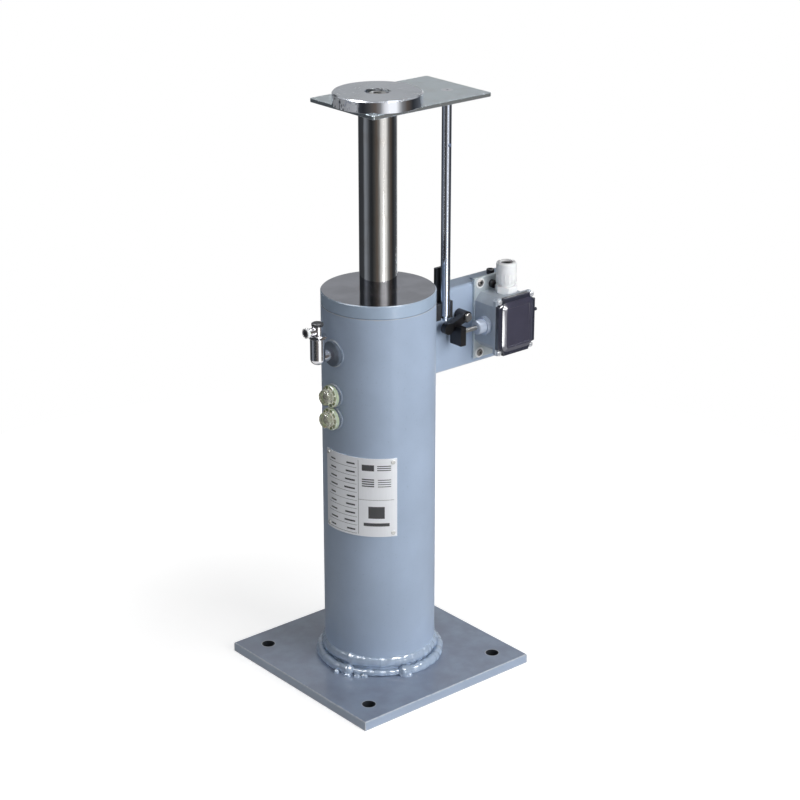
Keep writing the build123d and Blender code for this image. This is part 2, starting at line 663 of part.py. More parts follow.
def return_spring():
    """The coil spring between the seat and the piston, with its ends ground flat."""
    low = SPIGOT_TOP + STOP_GAP
    high = PISTON_BOTTOM - STOP_GAP
    half = SPRING_WIRE / 2
    height = high - low - SPRING_WIRE / 2
    path = Pos(0, 0, low + half / 2) * Helix(height / SPRING_TURNS, height, SPRING_RADIUS)
    section = Plane(path @ 0, z_dir=path % 0) * Circle(half)
    wire = sweep(section, path=path, is_frenet=True)
    outer = SPRING_RADIUS + SPRING_WIRE
    return wire & upright(outer, low, high)


def head_plate():
    """The plate on the plunger that carries the strike disc and the switch rod."""
    plate = block(HEAD_LEFT, HEAD_RIGHT, HEAD_FRONT, HEAD_BACK, PLATE_UNDERSIDE, DISC_BOTTOM)
    plate = fillet(plate.edges().filter_by(Axis.Z), HEAD_CORNER)
    plate = break_ends(plate, Axis.Z)
    low = PLATE_UNDERSIDE - THROUGH_CUT
    high = DISC_BOTTOM + THROUGH_CUT
    plate -= upright(HEAD_BOLT_RADIUS + THROUGH_GAP, low, high)
    plate -= upright(ROD_SCREW_RADIUS + THROUGH_GAP, low, high, SWITCH_ROD_X)
    return plate - countersink(SEAT_GAP)


def countersink(gap):
    """The cone of the rod screw's head, larger all round by a gap."""
    middle = Pos(SWITCH_ROD_X, 0, DISC_BOTTOM - ROD_SCREW_HEAD_HEIGHT / 2)
    return middle * Cone(ROD_SCREW_RADIUS + gap, ROD_SCREW_HEAD_RADIUS + gap, ROD_SCREW_HEAD_HEIGHT)


def strike_disc():
    """The disc that takes the blow."""
    disc = upright(DISC_RADIUS, DISC_BOTTOM, DISC_TOP)
    disc = chamfer(disc.faces().sort_by(Axis.Z)[-1].edges(), DISC_CHAMFER)
    disc = chamfer(disc.faces().sort_by(Axis.Z)[0].edges(), EDGE_BREAK)
    disc -= upright(HEAD_BOLT_RADIUS + THROUGH_GAP, DISC_BOTTOM - THROUGH_CUT, DISC_TOP)
    return disc - upright(DISC_RECESS_RADIUS, DISC_TOP - DISC_RECESS_DEPTH, DISC_TOP + THROUGH_CUT)


def head_bolt():
    """The low-headed socket screw that holds the disc and the plate to the plunger."""
    seat = DISC_TOP - DISC_RECESS_DEPTH
    top = seat + HEAD_BOLT_HEAD_HEIGHT
    bolt = upright(HEAD_BOLT_HEAD_RADIUS, seat, top)
    bolt = chamfer(bolt.faces().sort_by(Axis.Z)[-1].edges(), HEAD_BOLT_CHAMFER)
    bolt += upright(HEAD_BOLT_RADIUS, seat - HEAD_BOLT_LENGTH, seat)
    return bolt - hexagon(HEAD_BOLT_SOCKET, top - HEAD_BOLT_SOCKET_DEPTH, top + THROUGH_CUT)


def switch_rod():
    """The rod that follows the head down past the switch, with a cross hole and a turned tip."""
    shoulder = SWITCH_ROD_BOTTOM + SWITCH_ROD_TIP_LENGTH
    rod = upright(SWITCH_ROD_RADIUS, shoulder, PLATE_UNDERSIDE, SWITCH_ROD_X)
    rod = chamfer(rod.faces().sort_by(Axis.Z)[0].edges(), EDGE_BREAK)
    tip = upright(SWITCH_ROD_TIP_RADIUS, SWITCH_ROD_BOTTOM, shoulder, SWITCH_ROD_X)
    rod += chamfer(tip.faces().sort_by(Axis.Z)[0].edges(), EDGE_BREAK)
    reach = SWITCH_ROD_RADIUS + THROUGH_CUT
    rod -= along_y(SWITCH_ROD_HOLE_RADIUS, -reach, reach, SWITCH_ROD_X, SWITCH_ROD_HOLE_HEIGHT)
    floor = PLATE_UNDERSIDE - ROD_SCREW_LENGTH + HEAD_THICKNESS - STOP_GAP
    return rod - upright(ROD_SCREW_RADIUS + SEAT_GAP, floor, PLATE_UNDERSIDE + THROUGH_CUT, SWITCH_ROD_X)


def rod_screw():
    """The countersunk screw that holds the switch rod under the head plate."""
    neck = DISC_BOTTOM - ROD_SCREW_HEAD_HEIGHT
    screw = countersink(0)
    screw += upright(ROD_SCREW_RADIUS, DISC_BOTTOM - ROD_SCREW_LENGTH, neck, SWITCH_ROD_X)
    floor = DISC_BOTTOM - ROD_SCREW_SOCKET_DEPTH
    return screw - hexagon(ROD_SCREW_SOCKET, floor, DISC_BOTTOM + THROUGH_CUT, SWITCH_ROD_X)


def filler_boss():
    """The welded boss that the filler elbow screws into."""
    outer = -(TUBE_RADIUS + FILLER_BOSS_STAND)
    boss = along_x(FILLER_BOSS_RADIUS, outer, -(TUBE_BORE - BOSS_INNER_STAND), 0, FILLER_HEIGHT)
    boss = chamfer(boss.faces().sort_by(Axis.X)[0].edges(), FILLER_BOSS_CHAMFER)
    return boss - along_x(FILLER_PIPE_RADIUS + SEAT_GAP, outer - THROUGH_CUT, 0, 0, FILLER_HEIGHT)


def filler_elbow():
    """The bright elbow, whose upright limb is the filler."""
    inner = -(TUBE_BORE - BOSS_INNER_STAND)
    bottom = FILLER_HEIGHT - FILLER_BODY_DROP
    elbow = along_x(FILLER_PIPE_RADIUS, -FILLER_REACH, inner, 0, FILLER_HEIGHT)
    limb = upright(FILLER_BODY_RADIUS, bottom, COLLAR_BOTTOM, -FILLER_REACH)
    elbow += fillet(limb.edges().sort_by(Axis.Z)[0], FILLER_BODY_ROUND)
    elbow -= along_x(FILLER_PIPE_BORE, -FILLER_REACH, inner + THROUGH_CUT, 0, FILLER_HEIGHT)
    return elbow - upright(FILLER_PIPE_BORE, FILLER_HEIGHT, COLLAR_BOTTOM + THROUGH_CUT, -FILLER_REACH)


def filler_collar():
    """The hexagonal union nut on the elbow."""
    nut = hex_nut(COLLAR_ACROSS_FLATS, COLLAR_BOTTOM, TEE_BOTTOM, -FILLER_REACH)
    low = COLLAR_BOTTOM - THROUGH_CUT
    return nut - upright(FILLER_PIPE_BORE, low, TEE_BOTTOM + THROUGH_CUT, -FILLER_REACH)


def tee_arm_height():
    """The side port leaves the tee at mid height."""
    return TEE_BOTTOM + TEE_HEIGHT / 2


def vent_tee():
    """The small tee above the union nut, with its side port."""
    middle = tee_arm_height()
    mouth = -FILLER_REACH - TEE_ARM_REACH
    tee = upright(TEE_RADIUS, TEE_BOTTOM, TEE_TOP, -FILLER_REACH)
    tee += along_x(TEE_ARM_RADIUS, mouth, -FILLER_REACH, 0, middle)
    tee -= upright(SIDE_PLUG_RADIUS, TEE_BOTTOM - THROUGH_CUT, TEE_TOP - TEE_ROOF, -FILLER_REACH)
    return tee - along_x(SIDE_PLUG_RADIUS, mouth - THROUGH_CUT, -FILLER_REACH, 0, middle)


def vent_cap():
    """The black cap on the tee."""
    cap = upright(VENT_CAP_RADIUS, TEE_TOP, TEE_TOP + VENT_CAP_HEIGHT, -FILLER_REACH)
    return chamfer(cap.faces().sort_by(Axis.Z)[-1].edges(), VENT_CAP_CHAMFER)


def side_port_ring():
    """The pale ring round the mouth of the side port."""
    start = -FILLER_REACH - TEE_ARM_REACH
    end = start + SIDE_RING_WIDTH
    ring = along_x(SIDE_RING_RADIUS, start, end, 0, tee_arm_height())
    bore = TEE_ARM_RADIUS + SEAT_GAP
    return ring - along_x(bore, start - THROUGH_CUT, end + THROUGH_CUT, 0, tee_arm_height())


def side_port_plug():
    """The black plug in the side port."""
    end = -FILLER_REACH - TEE_ARM_REACH
    return along_x(SIDE_PLUG_RADIUS - SEAT_GAP, end, end + SIDE_PLUG_LENGTH, 0, tee_arm_height())


def sight_bosses():
    """The two welded bosses that the sight glasses screw into."""
    outer = -(TUBE_RADIUS + SIGHT_BOSS_STAND)
    bosses = []
    for height in SIGHT_HEIGHTS:
        boss = along_x(SIGHT_BOSS_RADIUS, outer, -(TUBE_BORE - BOSS_INNER_STAND), 0, height)
        bosses.append(boss - along_x(SIGHT_THREAD_RADIUS + SEAT_GAP, outer - THROUGH_CUT, 0, 0, height))
    return Compound(children=bosses)


def sight_seals():
    """The flat seals between the bosses and the sight glasses."""
    face = -(TUBE_RADIUS + SIGHT_BOSS_STAND)
    seals = []
    for height in SIGHT_HEIGHTS:
        front = face - SIGHT_SEAL_THICKNESS
        seal = along_x(SIGHT_BOSS_RADIUS, front, face, 0, height)
        bore = along_x(SIGHT_THREAD_RADIUS + SEAT_GAP, front - THROUGH_CUT, 0, 0, height)
        seals.append(seal - bore)
    return Compound(children=seals)


def sight_plugs():
    """The screwed flanges of the sight glasses, open in the middle for the dome."""
    back = -(TUBE_RADIUS + SIGHT_BOSS_STAND + SIGHT_SEAL_THICKNESS)
    front = back - SIGHT_FLANGE_THICKNESS
    inner = -(TUBE_BORE - BOSS_INNER_STAND)
    plugs = []
    for height in SIGHT_HEIGHTS:
        plug = along_x(SIGHT_FLANGE_RADIUS, front, back, 0, height)
        plug = chamfer(plug.faces().sort_by(Axis.X)[0].edges(), SIGHT_FLANGE_CHAMFER)
        plug += along_x(SIGHT_THREAD_RADIUS, back, inner, 0, height)
        plugs.append(plug - along_x(SIGHT_WINDOW_RADIUS, front - THROUGH_CUT, 0, 0, height))
    return Compound(children=plugs)


def sight_domes():
    """The clear domes that show the oil's level."""
    face = -(TUBE_RADIUS + SIGHT_BOSS_STAND + SIGHT_SEAL_THICKNESS + SIGHT_FLANGE_THICKNESS)
    inner = -(TUBE_BORE - BOSS_INNER_STAND)
    domes = []
    for height in SIGHT_HEIGHTS:
        dome = along_x(SIGHT_DOME_RADIUS, face - SIGHT_DOME_LENGTH, face, 0, height)
        dome = fillet(dome.faces().sort_by(Axis.X)[0].edges(), SIGHT_DOME_ROUND)
        domes.append(dome + along_x(SIGHT_WINDOW_RADIUS - SEAT_GAP, face, inner, 0, height))
    return Compound(children=domes)


def sector(start, end, radius):
    """A flat wedge between two angles, whose straight outer sides lie well past a radius."""
    reach = 2 * radius
    angles = [radians(angle) for angle in (start, (start + end) / 2, end)]
    rim = [(reach * cos(angle), reach * sin(angle)) for angle in angles]
    return Polygon((0, 0), *rim, align=None)


def nameplate():
    """The curved plate on the tube, left without any lettering."""
    inner = TUBE_RADIUS + SEAT_GAP
    band = Circle(inner + PLATE_THICKNESS) - Circle(inner)
    half = PLATE_SPAN_ANGLE / 2
    outline = band & sector(PLATE_MIDDLE_ANGLE - half, PLATE_MIDDLE_ANGLE + half, TUBE_RADIUS)
    plate = extrude(Pos(0, 0, PLATE_BOTTOM) * outline, amount=PLATE_HEIGHT)
    far = TUBE_RADIUS + PLATE_THICKNESS + THROUGH_CUT
    hole = along_x(RIVET_RADIUS + SEAT_GAP, TUBE_BORE, far, 0, 0)
    for angle, height in rivet_places():
        plate -= radial(hole, angle, height)
    return plate


def rivet_places():
    """The angle and height of each rivet, one at each corner of the nameplate."""
    inset = degrees(RIVET_INSET / TUBE_RADIUS)
    first = PLATE_MIDDLE_ANGLE - PLATE_SPAN_ANGLE / 2 + inset
    last = PLATE_MIDDLE_ANGLE + PLATE_SPAN_ANGLE / 2 - inset
    return corners(first, last, PLATE_BOTTOM + RIVET_INSET, PLATE_TOP - RIVET_INSET)


def nameplate_rivets():
    """The drive rivets that hold the nameplate."""
    seat = TUBE_RADIUS + SEAT_GAP + PLATE_THICKNESS
    rivet = along_x(RIVET_RADIUS, seat - RIVET_LENGTH, seat, 0, 0)
    rivet += along_x(RIVET_HEAD_RADIUS, seat, seat + RIVET_HEAD_HEIGHT, 0, 0)
    rivet = fillet(rivet.faces().sort_by(Axis.X)[-1].edges(), RIVET_HEAD_ROUND)
    return Compound(children=[radial(rivet, angle, height) for angle, height in rivet_places()])


def bracket_blank():
    """The angle bracket before it is drilled, cut to the tube."""
    back = BRACKET_FRONT + BRACKET_SHEET
    deep = BRACKET_FRONT + BRACKET_FLANGE_DEPTH
    blank = block(0, BRACKET_RIGHT, BRACKET_FRONT, back, BRACKET_BOTTOM, BRACKET_TOP)
    blank += block(0, BRACKET_RIGHT, BRACKET_FRONT, deep, BRACKET_TOP - BRACKET_SHEET, BRACKET_TOP)
    outside = Vector(BRACKET_RIGHT / 2, BRACKET_FRONT, BRACKET_TOP)
    bend = blank.edges().filter_by(Axis.X).sort_by_distance(outside)[0]
    blank = fillet(bend, BRACKET_BEND)
    return blank - upright(TUBE_RADIUS + SEAT_GAP, BRACKET_BOTTOM - THROUGH_CUT, BRACKET_TOP + THROUGH_CUT)


def guide_screw_places():
    """X and Z of the screws that hold the rod guide."""
    height = (GUIDE_BOTTOM + GUIDE_TOP) / 2
    return [(GUIDE_LEFT + GUIDE_SCREW_INSET, height), (GUIDE_RIGHT - GUIDE_SCREW_INSET, height)]


def adapter_screw_places():
    """X and Z of the adapter plate's corner screws."""
    return corners(
        ADAPTER_LEFT + ADAPTER_HOLE_INSET_X,
        ADAPTER_RIGHT - ADAPTER_HOLE_INSET_X,
        ADAPTER_BOTTOM + ADAPTER_HOLE_INSET_Z,
        ADAPTER_TOP - ADAPTER_HOLE_INSET_Z,
    )


def switch_bracket():
    """The bent bracket on the tube, drilled for what it carries."""
    back = BRACKET_FRONT + BRACKET_SHEET + THROUGH_CUT
    front = BRACKET_FRONT - THROUGH_CUT
    bracket = bracket_blank()
    for x, z in adapter_screw_places():
        bracket -= along_y(ADAPTER_SCREW_RADIUS + SEAT_GAP, front, back + ADAPTER_SCREW_LENGTH, x, z)
    for x, z in guide_screw_places():
        bracket -= along_y(GUIDE_SCREW_RADIUS + THROUGH_GAP, front, back, x, z)
    bore = CLAMP_SCREW_RADIUS + SEAT_GAP
    bracket -= along_y(bore, front, back + CLAMP_SCREW_LENGTH, CLAMP_SCREW_X, clamp_screw_height())
    bracket -= along_y(PIVOT_RADIUS + SEAT_GAP, front, back, PIVOT_X, PIVOT_HEIGHT)
    low = BRACKET_TOP - BRACKET_SHEET - THROUGH_CUT
    y = BRACKET_FRONT + FLANGE_SCREW_BACK
    return bracket - upright(bore, low, BRACKET_TOP + THROUGH_CUT, FLANGE_SCREW_X, y)


def bracket_welds():
    """The beads down both sides of the joint between the bracket and the tube."""
    beads = []
    low = BRACKET_BOTTOM + BRACKET_WELD_START
    high = BRACKET_TOP - BRACKET_SHEET - BRACKET_WELD_START
    faces = (BRACKET_FRONT, BRACKET_FRONT + BRACKET_SHEET)
    tube = upright(TUBE_RADIUS + SEAT_GAP, low - THROUGH_CUT, high + THROUGH_CUT)
    sheet = block(0, BRACKET_RIGHT, *faces, low - THROUGH_CUT, high + THROUGH_CUT)
    for y in faces:
        x = sqrt(TUBE_RADIUS**2 - y**2)
        bead = upright(BRACKET_WELD_LEG, low, high, x, y) - tube - sheet
        beads.append(bead.solids().sort_by(Axis.X)[-1])
    return Compound(children=beads)


def adapter_plate():
    """The zinc-plated plate between the bracket and the switch."""
    plate = block(ADAPTER_LEFT, ADAPTER_RIGHT, SWITCH_BACK, BRACKET_FRONT, ADAPTER_BOTTOM, ADAPTER_TOP)
    plate = chamfer(plate.faces().sort_by(Axis.Y)[0].edges(), EDGE_BREAK)
    front = SWITCH_BACK - THROUGH_CUT
    back = BRACKET_FRONT + THROUGH_CUT
    for x, z in adapter_screw_places():
        plate -= along_y(ADAPTER_SCREW_RADIUS + SEAT_GAP, front, back, x, z)
    return plate - along_y(CLAMP_SCREW_RADIUS + SEAT_GAP, front, back, CLAMP_SCREW_X, clamp_screw_height())


def clamp_screw_height():
    """The black screw on the adapter plate stands a little below the plate's top."""
    return ADAPTER_TOP - CLAMP_SCREW_DROP


def adapter_screws():
    """The button-head screws at the adapter plate's corners."""
    screws = []
    front = SWITCH_BACK - ADAPTER_SCREW_HEAD_HEIGHT
    for x, z in adapter_screw_places():
        screw = screw_y(
            ADAPTER_SCREW_RADIUS, ADAPTER_SCREW_LENGTH, ADAPTER_SCREW_HEAD_RADIUS,
            ADAPTER_SCREW_HEAD_HEIGHT, SWITCH_BACK, x, z,
        )
        screw = fillet(screw.faces().sort_by(Axis.Y)[0].edges(), ADAPTER_SCREW_ROUND)
        screws.append(screw - socket_y(ADAPTER_SCREW_SOCKET, front, ADAPTER_SCREW_SOCKET_DEPTH, x, z))
    return Compound(children=screws)


def clamp_screws():
    """The two black socket screws, one in the adapter plate and one in the bracket's flange."""
    front = SWITCH_BACK - CLAMP_SCREW_HEAD_HEIGHT
    plate_screw = screw_y(
        CLAMP_SCREW_RADIUS, CLAMP_SCREW_LENGTH, CLAMP_SCREW_HEAD_RADIUS,
        CLAMP_SCREW_HEAD_HEIGHT, SWITCH_BACK, CLAMP_SCREW_X, clamp_screw_height(),
    )
    plate_screw = chamfer(plate_screw.faces().sort_by(Axis.Y)[0].edges(), EDGE_BREAK)
    depth = CLAMP_SCREW_SOCKET_DEPTH
    plate_screw -= socket_y(CLAMP_SCREW_SOCKET, front, depth, CLAMP_SCREW_X, clamp_screw_height())
    x, y = FLANGE_SCREW_X, BRACKET_FRONT + FLANGE_SCREW_BACK
    top = BRACKET_TOP + CLAMP_SCREW_HEAD_HEIGHT
    flange_screw = upright(CLAMP_SCREW_HEAD_RADIUS, BRACKET_TOP, top, x, y)
    flange_screw = chamfer(flange_screw.faces().sort_by(Axis.Z)[-1].edges(), EDGE_BREAK)
    flange_screw += upright(CLAMP_SCREW_RADIUS, BRACKET_TOP - CLAMP_SCREW_LENGTH, BRACKET_TOP, x, y)
    flange_screw -= hexagon(CLAMP_SCREW_SOCKET, top - depth, top + THROUGH_CUT, x, y)
    return Compound(children=[plate_screw, flange_screw])


def rod_guide():
    """The black guide, open towards the front, with a tongue that runs up behind the rod."""
    front = BRACKET_FRONT - GUIDE_DEPTH
    guide = block(GUIDE_LEFT, GUIDE_RIGHT, front, BRACKET_FRONT, GUIDE_BOTTOM, GUIDE_TOP)
    guide = chamfer(guide.faces().sort_by(Axis.Y)[0].edges(), EDGE_BREAK)
    low = SWITCH_ROD_RADIUS + TONGUE_CLEARANCE
    half = TONGUE_WIDTH / 2
    top = GUIDE_TOP + TONGUE_RISE
    tongue = block(SWITCH_ROD_X - half, SWITCH_ROD_X + half, low, low + TONGUE_THICKNESS, GUIDE_BOTTOM, top)
    guide += chamfer(tongue.faces().sort_by(Axis.Z)[-1].edges(), EDGE_BREAK)
    guide -= upright(SWITCH_ROD_RADIUS + SLIDE_GAP, GUIDE_BOTTOM - THROUGH_CUT, top, SWITCH_ROD_X)
    floor = BRACKET_FRONT + BRACKET_SHEET - GUIDE_SCREW_LENGTH - STOP_GAP
    for x, z in guide_screw_places():
        guide -= along_y(GUIDE_SCREW_RADIUS + SEAT_GAP, floor, BRACKET_FRONT + THROUGH_CUT, x, z)
    return guide


def rod_guide_screws():
    """The screws that hold the rod guide, put in from behind the bracket."""
    seat = BRACKET_FRONT + BRACKET_SHEET
    screws = []
    for x, z in guide_screw_places():
        head = along_y(GUIDE_SCREW_HEAD_RADIUS, seat, seat + GUIDE_SCREW_HEAD_HEIGHT, x, z)
        head = chamfer(head.faces().sort_by(Axis.Y)[-1].edges(), EDGE_BREAK)
        screws.append(head + along_y(GUIDE_SCREW_RADIUS, seat - GUIDE_SCREW_LENGTH, seat, x, z))
    return Compound(children=screws)


def octagon(left, right, bottom, top, cut):
    """A rectangle in X and Z with its corners cut off."""
    return Polygon(
        (left + cut, bottom), (right - cut, bottom), (right, bottom + cut), (right, top - cut),
        (right - cut, top), (left + cut, top), (left, top - cut), (left, bottom + cut),
        align=None,
    )


def cover_screw_places():
    """X and Z of the cover's corner screws."""
    inset = COVER_SCREW_INSET
    return corners(SWITCH_LEFT + inset, SWITCH_RIGHT - inset, SWITCH_BOTTOM + inset, SWITCH_TOP - inset)


def switch_body():
    """The die-cast switch housing, with a square rim at the front and cut corners behind it."""
    step = SWITCH_STEP
    left, right, bottom, top = SWITCH_LEFT + step, SWITCH_RIGHT - step, SWITCH_BOTTOM + step, SWITCH_BODY_TOP
    rim_back = SWITCH_FRONT + SWITCH_RIM_DEPTH
    body = sheet_y(octagon(left, right, bottom, top, SWITCH_CORNER_CUT), rim_back, SWITCH_BACK)
    outline = octagon(SWITCH_LEFT, SWITCH_RIGHT, SWITCH_BOTTOM, SWITCH_TOP, SWITCH_RIM_CORNER)
    rim = sheet_y(outline, SWITCH_FRONT, rim_back)
    body += chamfer(rim.faces().sort_by(Axis.Y)[-1].edges(), EDGE_BREAK)
    wall = SWITCH_WALL
    cavity = octagon(left + wall, right - wall, bottom + wall, top - wall, SWITCH_CORNER_CUT)
    body -= sheet_y(cavity, SWITCH_FRONT - THROUGH_CUT, SWITCH_BACK - wall)
    inner = left + wall + THROUGH_CUT
    body -= along_x(PIN_RADIUS + SLIDE_GAP, SWITCH_LEFT - THROUGH_CUT, inner, 0, PIN_HEIGHT)
    body -= upright(GLAND_THREAD_RADIUS + SEAT_GAP, top - wall - THROUGH_CUT, top + THROUGH_CUT, GLAND_X)
    front = SWITCH_FRONT - THROUGH_CUT
    for x, z in cover_screw_places():
        body -= along_y(COVER_SCREW_RADIUS + SEAT_GAP, front, rim_back + THROUGH_CUT, x, z)
    return body


def cover_outline():
    """The cover's outline, notched at the corners round its screws."""
    notch = hypot(COVER_SCREW_INSET, COVER_SCREW_INSET) + COVER_SCREW_HEAD_RADIUS + THROUGH_GAP
    centre_x = (SWITCH_LEFT + SWITCH_RIGHT) / 2
    centre_z = (SWITCH_BOTTOM + SWITCH_TOP) / 2
    outline = Pos(centre_x, centre_z) * Rectangle(SWITCH_WIDTH, SWITCH_HEIGHT)
    for x, z in corners(SWITCH_LEFT, SWITCH_RIGHT, SWITCH_BOTTOM, SWITCH_TOP):
        outline -= Pos(x, z) * Circle(notch)
    return outline


def cover_gasket():
    """The gasket between the housing and its cover."""
    inset = SWITCH_STEP + SWITCH_WALL
    opening = octagon(
        SWITCH_LEFT + inset, SWITCH_RIGHT - inset, SWITCH_BOTTOM + inset,
        SWITCH_TOP - inset, SWITCH_CORNER_CUT,
    )
    return sheet_y(cover_outline() - opening, COVER_BACK, SWITCH_FRONT)


def switch_cover():
    """The black cover, with a raised panel and a small nub on its outer side."""
    cover = sheet_y(cover_outline(), COVER_FRONT, COVER_BACK)
    cover = chamfer(cover.faces().sort_by(Axis.Y)[0].edges(), COVER_CHAMFER)
    inset = COVER_PANEL_INSET
    centre = Pos((SWITCH_LEFT + SWITCH_RIGHT) / 2, (SWITCH_BOTTOM + SWITCH_TOP) / 2)
    outline = centre * RectangleRounded(
        SWITCH_WIDTH - 2 * inset, SWITCH_HEIGHT - 2 * inset, COVER_PANEL_CORNER
    )
    panel = sheet_y(outline, COVER_FRONT - COVER_PANEL_THICKNESS, COVER_FRONT)
    cover += chamfer(panel.faces().sort_by(Axis.Y)[0].edges(), COVER_PANEL_CHAMFER)
    middle = (COVER_FRONT + COVER_BACK) / 2
    height = SWITCH_BOTTOM + COVER_NUB_RISE
    return cover + along_x(COVER_NUB_RADIUS, SWITCH_RIGHT, SWITCH_RIGHT + COVER_NUB_LENGTH, middle, height)


def cover_screws():
    """The bright screws in the cover's corner notches."""
    screws = []
    for x, z in cover_screw_places():
        screw = screw_y(
            COVER_SCREW_RADIUS, COVER_SCREW_LENGTH, COVER_SCREW_HEAD_RADIUS,
            COVER_SCREW_HEAD_HEIGHT, SWITCH_FRONT, x, z,
        )
        screw = fillet(screw.faces().sort_by(Axis.Y)[0].edges(), COVER_SCREW_ROUND)
        front = SWITCH_FRONT - COVER_SCREW_HEAD_HEIGHT
        across, half = COVER_SCREW_HEAD_RADIUS, COVER_SCREW_SLOT_WIDTH / 2
        floor = front + COVER_SCREW_SLOT_DEPTH
        screws.append(screw - block(x - across, x + across, front - THROUGH_CUT, floor, z - half, z + half))
    return Compound(children=screws)


def contact_block():
    """The contact block on the housing's back wall, bored for the end of the pin."""
    centre = (SWITCH_LEFT + SWITCH_RIGHT) / 2
    half = CONTACT_BLOCK_WIDTH / 2
    low = PIN_HEIGHT - CONTACT_BLOCK_HEIGHT / 2
    back = SWITCH_BACK - SWITCH_WALL
    front = back - CONTACT_BLOCK_DEPTH
    holder = block(centre - half, centre + half, front, back, low, low + CONTACT_BLOCK_HEIGHT)
    reach = PIN_INNER_X + PIN_TRAVEL + STOP_GAP
    return holder - along_x(PIN_RADIUS + SLIDE_GAP, centre - half - THROUGH_CUT, reach, 0, PIN_HEIGHT)


def plunger_hub():
    """The plated hub that guides the switch pin."""
    face = SWITCH_LEFT + SWITCH_STEP
    hub = along_x(HUB_FLANGE_RADIUS, face - HUB_FLANGE_THICKNESS, face, 0, PIN_HEIGHT)
    hub += along_x(HUB_RADIUS, HUB_END_X, face - HUB_FLANGE_THICKNESS, 0, PIN_HEIGHT)
    hub = chamfer(hub.faces().sort_by(Axis.X)[0].edges(), HUB_CHAMFER)
    return hub - along_x(PIN_RADIUS + SLIDE_GAP, HUB_END_X - THROUGH_CUT, face + THROUGH_CUT, 0, PIN_HEIGHT)


def switch_pin():
    """The pin that the lever presses into the switch."""
    pin = along_x(PIN_RADIUS, PIN_TIP_X, PIN_INNER_X, 0, PIN_HEIGHT)
    return fillet(pin.faces().sort_by(Axis.X)[0].edges(), PIN_ROUND)


def gland_body():
    """The screwed base of the cable gland."""
    base_top = SWITCH_BODY_TOP + GLAND_BASE_HEIGHT
    neck_top = base_top + GLAND_NECK_HEIGHT
    body = hex_nut(GLAND_ACROSS_FLATS, SWITCH_BODY_TOP, base_top, GLAND_X)
    body += upright(GLAND_NECK_RADIUS, base_top, neck_top, GLAND_X)
    body += upright(GLAND_THREAD_RADIUS, SWITCH_BODY_TOP - SWITCH_WALL, SWITCH_BODY_TOP, GLAND_X)
    low = SWITCH_BODY_TOP - SWITCH_WALL - THROUGH_CUT
    return body - upright(GLAND_BORE_RADIUS, low, neck_top + THROUGH_CUT, GLAND_X)


def gland_nut():
    """The domed nut of the cable gland, open at the top for the cable."""
    bottom = SWITCH_BODY_TOP + GLAND_BASE_HEIGHT + GLAND_NECK_HEIGHT
    top = bottom + GLAND_NUT_HEIGHT
    nut = upright(GLAND_NUT_RADIUS, bottom, top, GLAND_X)
    nut = fillet(nut.faces().sort_by(Axis.Z)[-1].edges(), GLAND_NUT_ROUND)
    nut = chamfer(nut.faces().sort_by(Axis.Z)[0].edges(), EDGE_BREAK)
    nut -= upright(GLAND_BORE_RADIUS, bottom - THROUGH_CUT, top, GLAND_X)
    return nut - upright(GLAND_MOUTH_RADIUS, top - GLAND_MOUTH_DEPTH, top + THROUGH_CUT, GLAND_X)


def gland_seal():
    """The rubber ring that grips a cable."""
    top = SWITCH_BODY_TOP + GLAND_BASE_HEIGHT + GLAND_NECK_HEIGHT + GLAND_NUT_HEIGHT
    low = top - GLAND_MOUTH_DEPTH
    outer = GLAND_MOUTH_RADIUS - SEAT_GAP
    return pipe(outer, outer - GLAND_SEAL_WALL, low, low + GLAND_SEAL_HEIGHT, GLAND_X)


def trip_lever():
    """The lever beside the rod's path, with a pad in front of the switch pin."""
    middle = Pos(PIVOT_X - LEVER_REACH / 2, PIVOT_HEIGHT - LEVER_TIP_DROP / 2)
    slope = degrees(atan2(LEVER_TIP_DROP, LEVER_REACH))
    arm = middle * Rot(0, 0, slope) * SlotCenterToCenter(hypot(LEVER_REACH, LEVER_TIP_DROP), LEVER_ARM_HEIGHT)
    arm += Pos(PIVOT_X - LEVER_REACH, PIVOT_HEIGHT - LEVER_TIP_DROP) * Circle(LEVER_TIP_RADIUS)
    back = LEVER_FRONT + LEVER_THICKNESS
    lever = sheet_y(arm, LEVER_FRONT, back)
    lever += along_y(LEVER_HUB_RADIUS, LEVER_FRONT, BRACKET_FRONT - STOP_GAP, PIVOT_X, PIVOT_HEIGHT)
    lever += block(PAD_FACE_X - PAD_WIDTH, PAD_FACE_X, PAD_FRONT, back, PAD_TOP - PAD_HEIGHT, PAD_TOP)
    bore = PIVOT_RADIUS + SLIDE_GAP
    return lever - along_y(bore, LEVER_FRONT - THROUGH_CUT, BRACKET_FRONT, PIVOT_X, PIVOT_HEIGHT)


def lever_pivot_pin():
    """The headed pin that the lever turns on, fixed in the bracket."""
    head_back = LEVER_FRONT - STOP_GAP
    pin = along_y(PIVOT_HEAD_RADIUS, head_back - PIVOT_HEAD_THICKNESS, head_back, PIVOT_X, PIVOT_HEIGHT)
    pin = chamfer(pin.faces().sort_by(Axis.Y)[0].edges(), EDGE_BREAK)
    return pin + along_y(PIVOT_RADIUS, head_back, BRACKET_FRONT + BRACKET_SHEET, PIVOT_X, PIVOT_HEIGHT)


